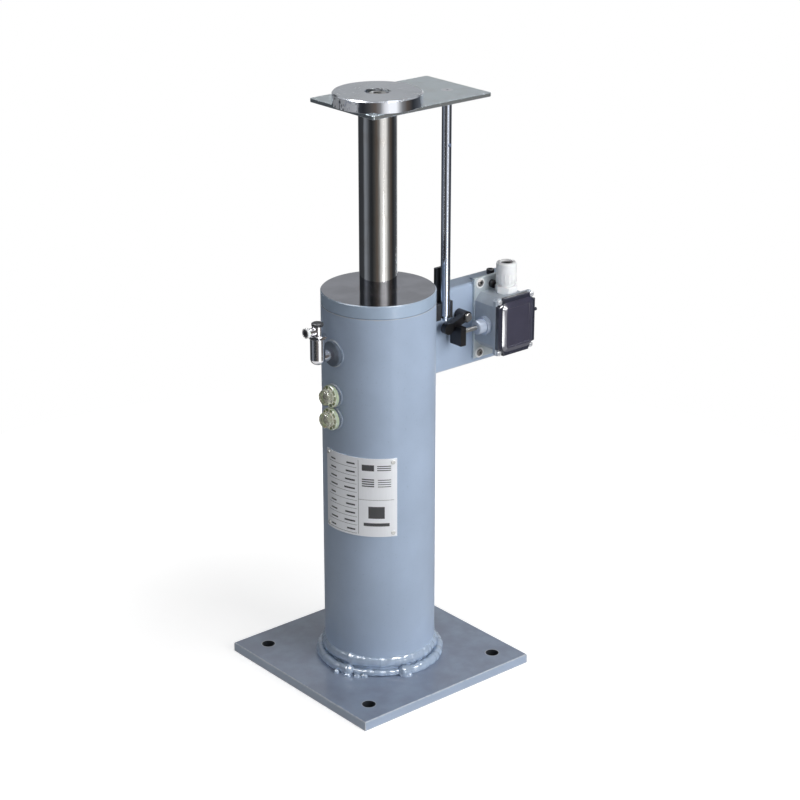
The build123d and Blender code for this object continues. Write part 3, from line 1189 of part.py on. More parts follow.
PARTS = (
    base_plate, base_weld, outer_tube, cylinder_seat, seat_o_ring, foot_valve_plate, foot_valve_cage,
    pressure_cylinder, cylinder_cap, cap_o_ring, cap_set_screw, guide_bush, rod_seal, wiper_ring,
    plunger_tube, plunger_plug, piston, piston_rings, rebound_sleeve, return_spring,
    head_plate, strike_disc, head_bolt, switch_rod, rod_screw,
    filler_boss, filler_elbow, filler_collar, vent_tee, vent_cap, side_port_ring, side_port_plug,
    sight_bosses, sight_seals, sight_plugs, sight_domes, nameplate, nameplate_rivets,
    switch_bracket, bracket_welds, adapter_plate, adapter_screws, clamp_screws,
    rod_guide, rod_guide_screws, switch_body, cover_gasket, switch_cover, cover_screws,
    contact_block, plunger_hub, switch_pin, gland_body, gland_nut, gland_seal,
    trip_lever, lever_pivot_pin,
)

os.makedirs("parts", exist_ok=True)
for make in PARTS:
    export_step(make(), f"parts/{make.__name__}.step")
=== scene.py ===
"""The finishes, welds, print and fine detail of a lift pit's oil buffer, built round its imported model."""

import json
import logging
import math
from dataclasses import dataclass, replace
from enum import Enum
from typing import ClassVar

import bmesh
import bpy
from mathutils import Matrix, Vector

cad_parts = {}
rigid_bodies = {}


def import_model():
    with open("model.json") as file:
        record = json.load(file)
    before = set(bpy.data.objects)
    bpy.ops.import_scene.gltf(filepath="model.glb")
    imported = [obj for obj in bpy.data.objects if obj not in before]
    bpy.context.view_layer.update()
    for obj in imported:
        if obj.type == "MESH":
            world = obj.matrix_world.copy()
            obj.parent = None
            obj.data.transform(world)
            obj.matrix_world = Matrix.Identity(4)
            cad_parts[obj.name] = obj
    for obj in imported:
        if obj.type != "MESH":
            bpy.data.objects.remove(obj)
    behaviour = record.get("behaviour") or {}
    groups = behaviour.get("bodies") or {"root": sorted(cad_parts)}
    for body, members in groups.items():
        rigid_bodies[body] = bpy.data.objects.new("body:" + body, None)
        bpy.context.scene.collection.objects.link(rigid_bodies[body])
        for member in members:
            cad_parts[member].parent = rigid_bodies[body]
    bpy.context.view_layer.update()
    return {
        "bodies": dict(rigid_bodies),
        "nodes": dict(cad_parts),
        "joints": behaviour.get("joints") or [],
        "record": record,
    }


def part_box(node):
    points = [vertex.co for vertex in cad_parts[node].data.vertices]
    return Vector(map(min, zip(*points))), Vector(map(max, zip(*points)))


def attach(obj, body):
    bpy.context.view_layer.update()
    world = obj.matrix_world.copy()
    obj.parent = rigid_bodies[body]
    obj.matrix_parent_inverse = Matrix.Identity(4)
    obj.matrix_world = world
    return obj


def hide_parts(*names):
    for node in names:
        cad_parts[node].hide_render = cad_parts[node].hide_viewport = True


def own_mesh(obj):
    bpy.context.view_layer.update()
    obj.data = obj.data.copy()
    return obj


LOG = logging.getLogger("buffer")
MM = 0.001
X_AXIS = 0
Z_AXIS = 2
UPRIGHT = (0.0, 0.0, 0.0)

Triple = tuple[float, float, float]
Colour = Triple
Span = tuple[float, float]
Corners = tuple[Vector, Vector]
Socket = bpy.types.NodeSocket
Feed = float | int | bool | tuple | Vector | Socket | bpy.types.Material


class Form(Enum):
    """The rough shape of a piece, which says where its worn edges lie."""

    BLOCK = "block"
    DRUM_X = "x"
    DRUM_Y = "y"
    DRUM_Z = "z"


class Grain(Enum):
    """The way that a metal's tool marks run."""

    ALONG_X = (0.03, 1.0, 1.0)
    ALONG_Z = (1.0, 1.0, 0.03)
    CLOUDED = (1.0, 1.0, 1.0)
    TURNED = (0.0, 0.0, 0.0)


class Tint(Enum):
    """The tints of the panels that stand round the object."""

    COOL = (0.92, 1.0, 1.14)
    PLAIN = (1.0, 1.0, 1.0)
    WARM = (1.22, 1.0, 0.86)


def placed(name: str, data: bpy.types.ID) -> bpy.types.Object:
    """Puts a mesh, a lamp or a camera into the scene.

    Args:
        name: The name of its object.
        data: What the object holds.

    Returns:
        The object, at the origin.
    """
    item = bpy.data.objects.new(name, data)
    bpy.context.scene.collection.objects.link(item)
    return item


def smoothed(mesh: bpy.types.Mesh, angle: float) -> None:
    """Shades a mesh smooth, but for the edges where its faces turn further than an angle.

    Args:
        mesh: The mesh.
        angle: The angle in radians.
    """
    mesh.polygons.foreach_set("use_smooth", [True] * len(mesh.polygons))
    mesh.set_sharp_from_angle(angle=angle)


def corners_of(points: list[Vector] | list[Triple]) -> Corners:
    """Gives the lowest and the highest corner of some points."""
    return Vector(map(min, *points)), Vector(map(max, *points))


def tinted(colour: Colour, factor: float) -> Colour:
    """Makes a colour lighter or darker.

    Args:
        colour: The colour.
        factor: What it is multiplied by.

    Returns:
        The new colour.
    """
    return tuple(min(1.0, channel * factor) for channel in colour)


class Graph:
    """Adds nodes to a tree and wires them by short calls."""

    def __init__(self, tree: bpy.types.NodeTree) -> None:
        """Keeps the tree that the nodes go into.

        Args:
            tree: A shader or geometry tree.
        """
        self.tree = tree

    def feed(self, socket: Socket, value: Feed) -> None:
        """Links a socket to an input, or sets the input's own value.

        Args:
            socket: The input.
            value: An output socket or a constant.
        """
        if isinstance(value, Socket):
            self.tree.links.new(value, socket)
        elif isinstance(value, tuple) and len(value) == 3 and socket.type == "RGBA":
            socket.default_value = (*value, 1.0)
        else:
            socket.default_value = value

    def add(self, kind: str, inputs: dict | None = None, **settings: object) -> bpy.types.Node:
        """Adds a node.

        Args:
            kind: The node's type.
            inputs: What feeds each input, by its name or number.
            settings: The node's own options.

        Returns:
            The node.
        """
        node = self.tree.nodes.new(kind)
        for name, value in settings.items():
            setattr(node, name, value)
        for key, value in (inputs or {}).items():
            self.feed(node.inputs[key], value)
        return node

    def math(self, operation: str, *values: Feed) -> Socket:
        """Adds a math node.

        Args:
            operation: Its operation.
            values: Its inputs in order.

        Returns:
            Its result.
        """
        node = self.add("ShaderNodeMath", dict(enumerate(values)), operation=operation)
        return node.outputs[0]

    def times(self, first: Feed, second: Feed) -> Socket:
        """Multiplies two numbers."""
        return self.math("MULTIPLY", first, second)

    def inverse(self, mask: Feed) -> Socket:
        """Turns a mask round, so that 1 becomes 0."""
        return self.math("SUBTRACT", 1.0, mask)

    def vector(self, operation: str, *values: Feed) -> Socket:
        """Adds a vector math node.

        Args:
            operation: Its operation.
            values: Its inputs in order.

        Returns:
            Its result, a number for LENGTH and DOT_PRODUCT and a vector otherwise.
        """
        node = self.add("ShaderNodeVectorMath", dict(enumerate(values)), operation=operation)
        return node.outputs[1 if operation in ("LENGTH", "DOT_PRODUCT") else 0]

    def split(self, vector: Socket) -> list[Socket]:
        """Takes a vector apart.

        Args:
            vector: The vector.

        Returns:
            Its X, Y and Z.
        """
        return list(self.add("ShaderNodeSeparateXYZ", {0: vector}).outputs)

    def join(self, x: Feed, y: Feed, z: Feed) -> Socket:
        """Makes a vector.

        Args:
            x: Its X.
            y: Its Y.
            z: Its Z.

        Returns:
            The vector.
        """
        return self.add("ShaderNodeCombineXYZ", {0: x, 1: y, 2: z}).outputs[0]

    def ease(self, value: Feed, start: float, end: float) -> Socket:
        """Turns a value into a smooth step from 0 to 1.

        Args:
            value: What is measured.
            start: Where the result leaves 0.
            end: Where the result reaches 1.

        Returns:
            The step.
        """
        inputs = {"Value": value, "From Min": start, "From Max": end}
        return self.add("ShaderNodeMapRange", inputs, interpolation_type="SMOOTHSTEP").outputs[0]

    def scaled(self, value: Feed, low: float, high: float) -> Socket:
        """Spreads a value of 0 to 1 over another range.

        Args:
            value: What is spread.
            low: The result at 0.
            high: The result at 1.

        Returns:
            The spread value.
        """
        return self.add("ShaderNodeMapRange", {"Value": value, "To Min": low, "To Max": high}).outputs[0]

    def blend(self, factor: Feed, first: Feed, second: Feed) -> Socket:
        """Mixes two colours.

        Args:
            factor: The share of the second colour.
            first: The first colour.
            second: The second colour.

        Returns:
            The mixed colour.
        """
        node = self.add("ShaderNodeMix", {0: factor, 6: first, 7: second}, data_type="RGBA")
        return node.outputs[2]

    def noise(self, place: Feed, size: float, detail: float = 2.0) -> Socket:
        """Adds a noise pattern.

        Args:
            place: Where the pattern is read, in millimetres.
            size: The size of its features in millimetres.
            detail: How many finer layers it has.

        Returns:
            The pattern, about 0.5 in the mean.
        """
        inputs = {"Vector": place, "Scale": 1.0 / size, "Detail": detail}
        return self.add("ShaderNodeTexNoise", inputs).outputs[0]


class Surface(Graph):
    """A new material with one principled shader, in the millimetres of the model."""

    patch_range: Span = (0.3, 0.7)

    def __init__(self, name: str, corners: Corners | None = None, form: Form = Form.BLOCK) -> None:
        """Makes the material, its shader and the place that its patterns read.

        Args:
            name: The material's name.
            corners: The lowest and highest corner of its piece, in metres, if a pattern follows them.
            form: The piece's rough shape.
        """
        self.corners = corners
        self.form = form
        self.material = bpy.data.materials.new(name)
        self.material.use_nodes = True
        super().__init__(self.material.node_tree)
        self.shader = self.tree.nodes["Principled BSDF"]
        coordinates = self.add("ShaderNodeTexCoord").outputs["Object"]
        self.place = self.vector("MULTIPLY", coordinates, (1.0 / MM,) * 3)

    def set(self, **values: Feed) -> None:
        """Feeds the shader's inputs.

        Args:
            values: What each input gets, with its name's blanks written as underscores.
        """
        for name, value in values.items():
            self.feed(self.shader.inputs[name.replace("_", " ")], value)

    def patches(self, noise: Feed) -> Socket:
        """Spreads noise out into soft patches of 0 to 1."""
        return self.ease(noise, *self.patch_range)

    def from_axis(self, middle: Vector) -> Socket:
        """Measures how far a point is from an upright axis.

        Args:
            middle: A point of the axis, in metres.

        Returns:
            The distance in millimetres.
        """
        x, y, _ = self.split(self.vector("SUBTRACT", self.place, tuple(middle / MM)))
        return self.vector("LENGTH", self.join(x, y, 0.0))

    def bump(self, height: Feed, depth: float, under: Feed | None = None) -> Socket:
        """Raises the surface by a pattern.

        Args:
            height: The pattern.
            depth: How far it rises, in millimetres.
            under: The normal of a bump that this one lies on.

        Returns:
            The new normal.
        """
        inputs = {"Height": height, "Distance": depth * MM}
        if under is not None:
            inputs["Normal"] = under
        return self.add("ShaderNodeBump", inputs).outputs[0]

    def facing(self, axis: int, start: float, end: float, both: bool = True) -> Socket:
        """Marks the faces that look along an axis.

        Args:
            axis: The number of the axis.
            start: The share of the normal along the axis where the mark leaves 0.
            end: The share where it reaches 1.
            both: Whether faces that look the other way along the axis count too.

        Returns:
            A mask of 0 to 1.
        """
        share = self.split(self.add("ShaderNodeNewGeometry").outputs["Normal"])[axis]
        return self.ease(self.math("ABSOLUTE", share) if both else share, start, end)

    def from_edge(self) -> Socket:
        """Measures how far a point is from the nearest outer edge of its piece.

        Returns:
            The distance in millimetres.
        """
        low, high = (corner / MM for corner in self.corners)
        middle, half = (low + high) / 2, (high - low) / 2
        inward = self.vector("ABSOLUTE", self.vector("SUBTRACT", self.place, tuple(middle)))
        depths = self.split(self.vector("SUBTRACT", tuple(half), inward))
        if self.form is Form.BLOCK:
            lesser = self.math("MINIMUM", depths[0], depths[1])
            greater = self.math("MAXIMUM", depths[0], depths[1])
            return self.math("MAXIMUM", lesser, self.math("MINIMUM", greater, depths[2]))
        axis = "xyz".index(self.form.value)
        if self.form is Form.DRUM_X:
            spacing = max(0.0, half.z - half.y)
            inward = self.vector("ABSOLUTE", self.vector("SUBTRACT", inward, (0.0, 0.0, spacing)))
        across = [0.0 if number == axis else 1.0 for number in range(3)]
        reach = self.vector("LENGTH", self.vector("MULTIPLY", inward, tuple(across)))
        radius = half[(axis + 1) % 3]
        return self.math("MAXIMUM", self.math("SUBTRACT", radius, reach), depths[axis])

    def rub(self, width: float, spread: float) -> Socket:
        """Says where handling has rubbed the piece's edges.

        Args:
            width: How far in from the edge the rubbing reaches, in millimetres.
            spread: The size of its patches in millimetres.

        Returns:
            A mask of 0 to 1.
        """
        ragged = self.times(self.noise(self.place, spread, detail=4.0), 2.0 * width)
        distance = self.from_edge()
        return self.ease(self.math("SUBTRACT", ragged, distance), 0.0, 0.5 * width)


@dataclass(frozen=True)
class Finish:
    """What every finish has.

    Attributes:
        name: What the finish is called.
        colour: Its colour.
        roughness: Its roughness in the mean.
    """

    name: str
    colour: Colour
    roughness: float

    def shade(self, surface: Surface) -> None:
        """Wires the finish, which each kind of finish does its own way.

        Args:
            surface: The material that is wired.
        """
        raise NotImplementedError

    def material(self, piece: str, corners: Corners, form: Form = Form.BLOCK) -> bpy.types.Material:
        """Makes the material for one piece.

        Args:
            piece: The piece's name.
            corners: The lowest and highest corner of the piece, in metres.
            form: The piece's rough shape.

        Returns:
            The material.
        """
        surface = Surface(f"{self.name} {piece}", corners, form)
        self.shade(surface)
        return surface.material

    def mottled(self, surface: Surface, pattern: Feed, darker: float, lighter: float) -> Socket:
        """Lets the colour stray with a pattern, between two factors."""
        return surface.blend(pattern, tinted(self.colour, darker), tinted(self.colour, lighter))

    def uneven(self, surface: Surface, pattern: Feed, least: float = 0.8, most: float = 1.2) -> Socket:
        """Lets the roughness stray with a pattern, between two factors."""
        return surface.scaled(pattern, self.roughness * least, self.roughness * most)


@dataclass(frozen=True)
class Paint(Finish):
    """Sprayed enamel with a faint orange peel, thin patches and rubbed edges, sized in millimetres.

    Attributes:
        peel: How deep the orange peel is.
        mottle: How far its thin and thick patches stray from the colour.
        rubbed: The colour of its rubbed edges.
        rub_width: How far in from an edge the rubbing reaches.
        coat: The weight of the gloss over the colour.
        gloss: The roughness of that gloss.
        top_shade_strength: How strongly painted shade darkens the faces that look up, in patches.
        top_shade: The colour of that painted shade.
        waviness: How deep its long waves are.
        specular: Its specular level.
        bores: How far four upright bores stand from the middle each way, and their radius.
    """

    peel: float = 0.035
    mottle: float = 0.06
    rubbed: Colour = (0.50, 0.54, 0.60)
    rub_width: float = 0.9
    coat: float = 0.05
    gloss: float = 0.12
    top_shade_strength: float = 0.0
    top_shade: Colour = (0.30, 0.29, 0.28)
    waviness: float = 0.12
    specular: float = 0.5
    bores: Span | None = None
    cloud_size: ClassVar[float] = 70.0
    speck_size: ClassVar[float] = 2.2
    speck_range: ClassVar[Span] = (0.62, 0.75)
    speck_share: ClassVar[float] = 0.35
    speck_tone: ClassVar[float] = 0.72
    top_shade_slope: ClassVar[Span] = (0.6, 0.95)
    top_shade_size: ClassVar[float] = 24.0
    top_shade_least: ClassVar[float] = 0.55
    rub_patch: ClassVar[float] = 5.0
    peel_size: ClassVar[float] = 1.6
    wave_size: ClassVar[float] = 14.0
    bore_rim: ClassVar[Span] = (0.5, 1.1)
    bore_wall: ClassVar[Span] = (0.0, 0.3)
    bore_shade: ClassVar[Colour] = (0.03, 0.035, 0.04)

    def shade(self, surface: Surface) -> None:
        """Wires the enamel.

        Args:
            surface: The material that is wired.
        """
        clouds = surface.noise(surface.place, self.cloud_size, detail=3.0)
        specks = surface.noise(surface.place, self.speck_size, detail=3.0)
        tone = self.mottled(surface, surface.patches(clouds), 1.0 - self.mottle, 1.0 + self.mottle)
        fleck = surface.times(surface.ease(specks, *self.speck_range), self.speck_share)
        tone = surface.blend(fleck, tone, tinted(self.colour, self.speck_tone))
        # Painted shade: the faces that look up are darkened in patches.
        if self.top_shade_strength:
            tone = self.paint_top_shade(surface, tone)
        tone = surface.blend(surface.rub(self.rub_width, self.rub_patch), tone, self.rubbed)
        # Painted shade in the bores, with their rims lightened as wear and painted highlight.
        if self.bores is not None:
            tone = self.shade_bores(surface, tone)
        surface.set(Base_Color=tone, Roughness=self.uneven(surface, clouds), Specular_IOR_Level=self.specular)
        surface.set(Coat_Weight=self.coat, Coat_Roughness=self.gloss)
        peel = surface.noise(surface.place, self.peel_size)
        waves = surface.noise(surface.place, self.wave_size, detail=1.0)
        surface.set(Normal=surface.bump(peel, self.peel, surface.bump(waves, self.waviness)))

    def paint_top_shade(self, surface: Surface, tone: Feed) -> Socket:
        """Paints shade in patches on the faces that look up, darker than the enamel.

        Args:
            surface: The material that is wired.
            tone: The colour elsewhere.

        Returns:
            The colour.
        """
        top_shade = surface.times(surface.facing(Z_AXIS, *self.top_shade_slope, both=False), self.top_shade_strength)
        patches = surface.patches(surface.noise(surface.place, self.top_shade_size, detail=5.0))
        share = surface.times(top_shade, surface.scaled(patches, self.top_shade_least, 1.0))
        return surface.blend(share, tone, self.top_shade)

    def shade_bores(self, surface: Surface, tone: Feed) -> Socket:
        """Paints shade on the walls of the upright bores near a square piece's corners, and lightens their
        rims with the rubbed colour, as wear and painted highlight.

        Args:
            surface: The material that is wired.
            tone: The colour elsewhere.

        Returns:
            The colour.
        """
        inset, radius = self.bores
        x, y, _ = surface.split(surface.vector("ABSOLUTE", surface.place))
        corner = surface.join(surface.math("SUBTRACT", x, inset), surface.math("SUBTRACT", y, inset), 0.0)
        reach = surface.vector("LENGTH", corner)
        # The wall mask paints shade inside each bore; the rim mask lightens the lip as wear and painted
        # highlight.
        rim, wall = (
            surface.inverse(surface.ease(reach, radius + start, radius + end))
            for start, end in (self.bore_rim, self.bore_wall)
        )
        return surface.blend(wall, surface.blend(rim, tone, self.rubbed), self.bore_shade)


@dataclass(frozen=True)
class FacedPaint(Paint):
    """Enamel on a turned piece whose top face is left bare, turned smooth and oiled.

    Attributes:
        bare: The colour of the bare face.
    """

    bare: Colour = (0.33, 0.335, 0.375)
    cloud_size: ClassVar[float] = 26.0
    bare_slope: ClassVar[Span] = (0.9, 0.97)
    bare_mottle: ClassVar[Span] = (0.86, 1.1)
    bare_roughness: ClassVar[Span] = (0.06, 0.14)
    ring_size: ClassVar[float] = 0.6
    ring_depth: ClassVar[float] = 0.0015

    def shade(self, surface: Surface) -> None:
        """Wires the enamel and the bare face.

        Args:
            surface: The material that is wired.
        """
        bare = surface.facing(Z_AXIS, *self.bare_slope, both=False)
        enamelled = surface.inverse(bare)
        clouds = surface.noise(surface.place, self.cloud_size, detail=4.0)
        patches = surface.patches(clouds)
        enamel = self.mottled(surface, patches, 1.0 - self.mottle, 1.0 + self.mottle)
        worn = surface.rub(self.rub_width, self.rub_patch)
        enamel = surface.blend(worn, enamel, self.rubbed)
        metal = surface.blend(patches, *(tinted(self.bare, factor) for factor in self.bare_mottle))
        rings = surface.noise(surface.join(surface.from_axis(Vector()), 0.0, 0.0), self.ring_size, detail=3.0)
        satin = surface.times(enamelled, self.roughness)
        polish = surface.times(bare, surface.scaled(clouds, *self.bare_roughness))
        surface.set(Base_Color=surface.blend(bare, enamel, metal), Metallic=bare)
        surface.set(Roughness=surface.math("ADD", satin, polish))
        surface.set(Coat_Weight=self.coat, Coat_Roughness=self.gloss)
        peel = surface.times(surface.noise(surface.place, self.peel_size), enamelled)
        grooves = surface.times(rings, bare)
        surface.set(Normal=surface.bump(peel, self.peel, surface.bump(grooves, self.ring_depth)))


@dataclass(frozen=True)
class Metal(Finish):
    """Bare or plated metal with tool marks, stains and brighter edges, sized in millimetres.

    Attributes:
        grain: The way that its tool marks run.
        mark_size: How wide the marks are.
        mark_depth: How deep the marks are.
        stain: The colour of its stains.
        stained: How strong the stains are.
        anisotropy: How far its highlights are drawn out across the marks.
        metallic: How metallic it is.
        polished: The roughness of its outer sides, where they are polished.
        side: The colour of those sides.
        waviness: How deep the long waves down its length are.
        scuffed: How much of its metal look a scuffed patch of its side has lost.
    """

    grain: Grain = Grain.CLOUDED
    mark_size: float = 1.2
    mark_depth: float = 0.01
    stain: Colour = (0.45, 0.42, 0.38)
    stained: float = 0.2
    anisotropy: float = 0.0
    metallic: float = 1.0
    polished: float | None = None
    side: Colour | None = None
    waviness: float = 0.0
    scuffed: float = 0.0
    cloud_size: ClassVar[float] = 18.0
    stain_range: ClassVar[Span] = (0.45, 0.75)
    stain_haze: ClassVar[float] = 0.3
    mark_tone: ClassVar[float] = 0.9
    mark_haze: ClassVar[Span] = (0.8, 1.25)
    rub_width: ClassVar[float] = 0.5
    rub_patch: ClassVar[float] = 2.0
    rub_tone: ClassVar[float] = 1.15
    wave_size: ClassVar[float] = 5.0
    wave_stretch: ClassVar[Triple] = (1.0, 1.0, 0.14)
    scuff_size: ClassVar[float] = 2.4
    scuff_stretch: ClassVar[Triple] = (1.0, 1.0, 0.5)
    scuff_slope: ClassVar[Span] = (0.88, 0.93)
    scuff_range: ClassVar[Span] = (0.34, 0.48)
    scuff_haze: ClassVar[float] = 0.3
    flat_slope: ClassVar[Span] = (0.5, 0.9)
    flat_reach: ClassVar[Span] = (0.6, 0.7)

    def shade(self, surface: Surface) -> None:
        """Wires the metal.

        Args:
            surface: The material that is wired.
        """
        marks = self.marks(surface)
        clouds = surface.noise(surface.place, self.cloud_size, detail=4.0)
        stained = surface.times(surface.ease(clouds, *self.stain_range), self.stained)
        tone = surface.blend(stained, self.mottled(surface, marks, self.mark_tone, 1.0), self.stain)
        worn = surface.rub(self.rub_width, self.rub_patch)
        tone = surface.blend(worn, tone, tinted(self.colour, self.rub_tone))
        level = self.roughness
        if self.polished is not None:
            flat = self.flat(surface)
            level = surface.scaled(flat, self.polished, self.roughness)
            tone = surface.blend(flat, self.side or self.colour, tone)
        surface.set(Base_Color=tone, Metallic=self.metallic)
        rough = surface.times(surface.scaled(marks, *self.mark_haze), level)
        rough = surface.math("ADD", rough, surface.times(stained, self.stain_haze))
        if self.scuffed:
            dull = self.scuff(surface)
            rough = surface.math("ADD", rough, surface.times(dull, self.scuff_haze))
            surface.set(Metallic=surface.scaled(dull, self.metallic, 1.0 - self.scuffed))
        normal = surface.bump(marks, self.mark_depth)
        if self.waviness:
            drawn = surface.vector("MULTIPLY", surface.place, self.wave_stretch)
            normal = surface.bump(surface.noise(drawn, self.wave_size, detail=3.0), self.waviness, normal)
        surface.set(Roughness=rough, Normal=normal)
        if self.anisotropy:
            tangent = surface.add("ShaderNodeTangent", direction_type="RADIAL", axis="Z")
            surface.set(Tangent=tangent.outputs[0], Anisotropic=self.anisotropy)

    def scuff(self, surface: Surface) -> Socket:
        """Marks the dull, scratched part of a round side, which looks along -X.

        Args:
            surface: The material that is wired.

        Returns:
            A mask of 0 to 1.
        """
        normal = surface.add("ShaderNodeNewGeometry").outputs["Normal"]
        left = surface.times(surface.split(normal)[X_AXIS], -1.0)
        drawn = surface.vector("MULTIPLY", surface.place, self.scuff_stretch)
        broken = surface.ease(surface.noise(drawn, self.scuff_size), *self.scuff_range)
        return surface.times(surface.ease(left, *self.scuff_slope), broken)

    def flat(self, surface: Surface) -> Socket:
        """Marks everything but the polished outer sides of a piece.

        Args:
            surface: The material that is wired.

        Returns:
            A mask of 0 on the outer sides and 1 elsewhere.
        """
        low, high = surface.corners
        half = (high - low) / 2 / MM
        start, end = (half.y * share for share in self.flat_reach)
        inside = surface.inverse(surface.ease(surface.from_axis((low + high) / 2), start, end))
        return surface.math("MAXIMUM", surface.facing(Z_AXIS, *self.flat_slope), inside)

    def marks(self, surface: Surface) -> Socket:
        """Lays the tool marks along the grain, or in rings round the piece's upright axis.

        Args:
            surface: The material that is wired.

        Returns:
            The pattern of the marks.
        """
        if self.grain is Grain.TURNED:
            low, high = surface.corners
            radius = surface.from_axis((low + high) / 2)
            along = surface.join(radius, 0.0, surface.split(surface.place)[Z_AXIS])
        else:
            along = surface.vector("MULTIPLY", surface.place, self.grain.value)
        return surface.noise(along, self.mark_size, detail=4.0)


@dataclass(frozen=True)
class Moulding(Finish):
    """Moulded plastic or rubber with a spark-eroded grain and rubbed edges, sized in millimetres.

    Attributes:
        grain_size: How wide the grain is.
        grain_depth: How deep the grain is.
        rubbed: The colour of its rubbed edges.
        coat: The weight of the gloss over the colour.
        glow: How much light goes on under its skin.
        rub_width: How far in from an edge the rubbing reaches.
        face: The colour of a ring on the faces that look along X, a painted shade.
        band: How far in from the edge that ring starts and ends.
        coat_index: The refractive index of the gloss.
    """

    grain_size: float = 0.5
    grain_depth: float = 0.02
    rubbed: Colour = (0.16, 0.16, 0.17)
    coat: float = 0.0
    glow: float = 0.0
    rub_width: float = 0.4
    face: Colour | None = None
    band: Span = (0.0, 100.0)
    coat_index: float = 1.5
    cloud_size: ClassVar[float] = 9.0
    mottle: ClassVar[Span] = (0.85, 1.15)
    band_edge: ClassVar[float] = 0.4
    face_slope: ClassVar[Span] = (0.85, 0.95)
    rub_patch: ClassVar[float] = 1.5
    rub_share: ClassVar[float] = 0.7
    gloss: ClassVar[float] = 0.06

    def shade(self, surface: Surface) -> None:
        """Wires the plastic.

        Args:
            surface: The material that is wired.
        """
        grain = surface.noise(surface.place, self.grain_size, detail=3.0)
        clouds = surface.noise(surface.place, self.cloud_size, detail=3.0)
        tone = self.mottled(surface, clouds, *self.mottle)
        # On the sight flanges this ring is a painted shade between the ribs.
        if self.face is not None:
            inward = surface.from_edge()
            start, end = (surface.ease(inward, edge, edge + self.band_edge) for edge in self.band)
            facing = surface.facing(X_AXIS, *self.face_slope)
            ring = surface.times(facing, surface.math("SUBTRACT", start, end))
            tone = surface.blend(ring, tone, self.face)
        worn = surface.rub(self.rub_width, self.rub_patch)
        tone = surface.blend(surface.times(worn, self.rub_share), tone, self.rubbed)
        surface.set(Base_Color=tone, Roughness=self.uneven(surface, clouds))
        surface.set(Coat_Weight=self.coat, Coat_Roughness=self.gloss, Coat_IOR=self.coat_index)
        surface.set(Subsurface_Weight=self.glow, Normal=surface.bump(grain, self.grain_depth))


@dataclass(frozen=True)
class Clear(Finish):
    """Tinted see-through plastic with fine crazing, sized in millimetres.

    Attributes:
        opening: How much light goes through it.
    """

    opening: float = 0.8
    index: ClassVar[float] = 1.49
    cloud_size: ClassVar[float] = 5.0
    mottle: ClassVar[Span] = (0.9, 1.06)
    haze: ClassVar[Span] = (0.7, 1.4)
    craze_size: ClassVar[float] = 1.5
    craze_depth: ClassVar[float] = 0.015

    def shade(self, surface: Surface) -> None:
        """Wires the clear plastic.

        Args:
            surface: The material that is wired.
        """
        clouds = surface.noise(surface.place, self.cloud_size, detail=3.0)
        surface.set(Base_Color=self.mottled(surface, clouds, *self.mottle))
        surface.set(Roughness=self.uneven(surface, clouds, *self.haze))
        surface.set(Transmission_Weight=self.opening, IOR=self.index)
        surface.set(Normal=surface.bump(surface.noise(surface.place, self.craze_size), self.craze_depth))


TUBE_PAINT = Paint("blue grey enamel", (0.365, 0.450, 0.585), 0.34, coat=0.0, specular=0.3)
# Tube enamel darkened on the bosses as painted shade.
SHADED_BOSS_PAINT = Paint(
    "enamel on bosses", (0.105, 0.130, 0.170), 0.42, specular=0.3, rubbed=(0.20, 0.24, 0.30), rub_width=0.4
)
# The dark bluish colour for the faces that look up is painted shade on the plate's top.
PLATE_PAINT = Paint(
    "floor plate enamel", (0.345, 0.425, 0.560), 0.36, rub_width=1.1, coat=0.7, gloss=0.07, top_shade_strength=0.7,
    top_shade=(0.160, 0.180, 0.245), waviness=0.03
)
CAP_PAINT = FacedPaint("cap enamel", (0.365, 0.460, 0.590), 0.26, rub_width=0.6, coat=0.08)
WELD_PAINT = Paint(
    "enamel over weld", (0.360, 0.445, 0.570), 0.22, mottle=0.10, coat=1.0, gloss=0.10, peel=0.008,
    waviness=0.0, rub_width=0.05
)
# Tube enamel darkened on the small beads as painted shade.
SHADED_BEAD_PAINT = Paint(
    "enamel over small beads", (0.250, 0.310, 0.405), 0.40, mottle=0.10, specular=0.3, rub_width=0.05
)
# The brownish stain patches are partly oil film and partly a painted tint of the reflections.
CHROME = Metal(
    "hard chrome", (0.80, 0.79, 0.77), 0.05, Grain.ALONG_Z, 0.8, 0.002, stain=(0.50, 0.42, 0.34),
    stained=0.25, waviness=0.10
)
ROD_ZINC = Metal("bright zinc", (0.70, 0.76, 0.88), 0.10, Grain.ALONG_Z, 0.8, 0.0005, stained=0.04)
BRIGHT = Metal("bright nickel", (0.84, 0.83, 0.86), 0.14, Grain.CLOUDED, 5.0, 0.004, stained=0.02)
ZINC = Metal("zinc plate", (0.80, 0.82, 0.86), 0.36, Grain.CLOUDED, 3.0, 0.01, stained=0.1, metallic=0.6)
# Pale zinc washers, lightened further and made barely metallic as a painted highlight at the adapter's
# corners.
LIT_WASHER_ZINC = Metal(
    "pale zinc", (0.93, 0.94, 0.95), 0.32, Grain.CLOUDED, 3.0, 0.01, stained=0.05, metallic=0.15
)
HUB_ZINC = Metal("blue zinc", (0.60, 0.67, 0.79), 0.38, Grain.CLOUDED, 3.0, 0.01, stained=0.08, metallic=0.3)
HEAD_ZINC = Metal(
    "passivated sheet", (0.66, 0.73, 0.77), 0.30, Grain.ALONG_X, 1.2, 0.01, metallic=0.85, polished=0.14
)
ZINC_SHEET = Metal("zinc sheet", (0.58, 0.65, 0.69), 0.36, Grain.ALONG_Z, 1.2, 0.01, metallic=0.35)
TURNED_STEEL = Metal(
    "turned steel", (0.66, 0.69, 0.74), 0.24, Grain.TURNED, 0.7, 0.01, stained=0.12, anisotropy=0.6,
    polished=0.05, side=(0.90, 0.93, 1.0), scuffed=0.85
)
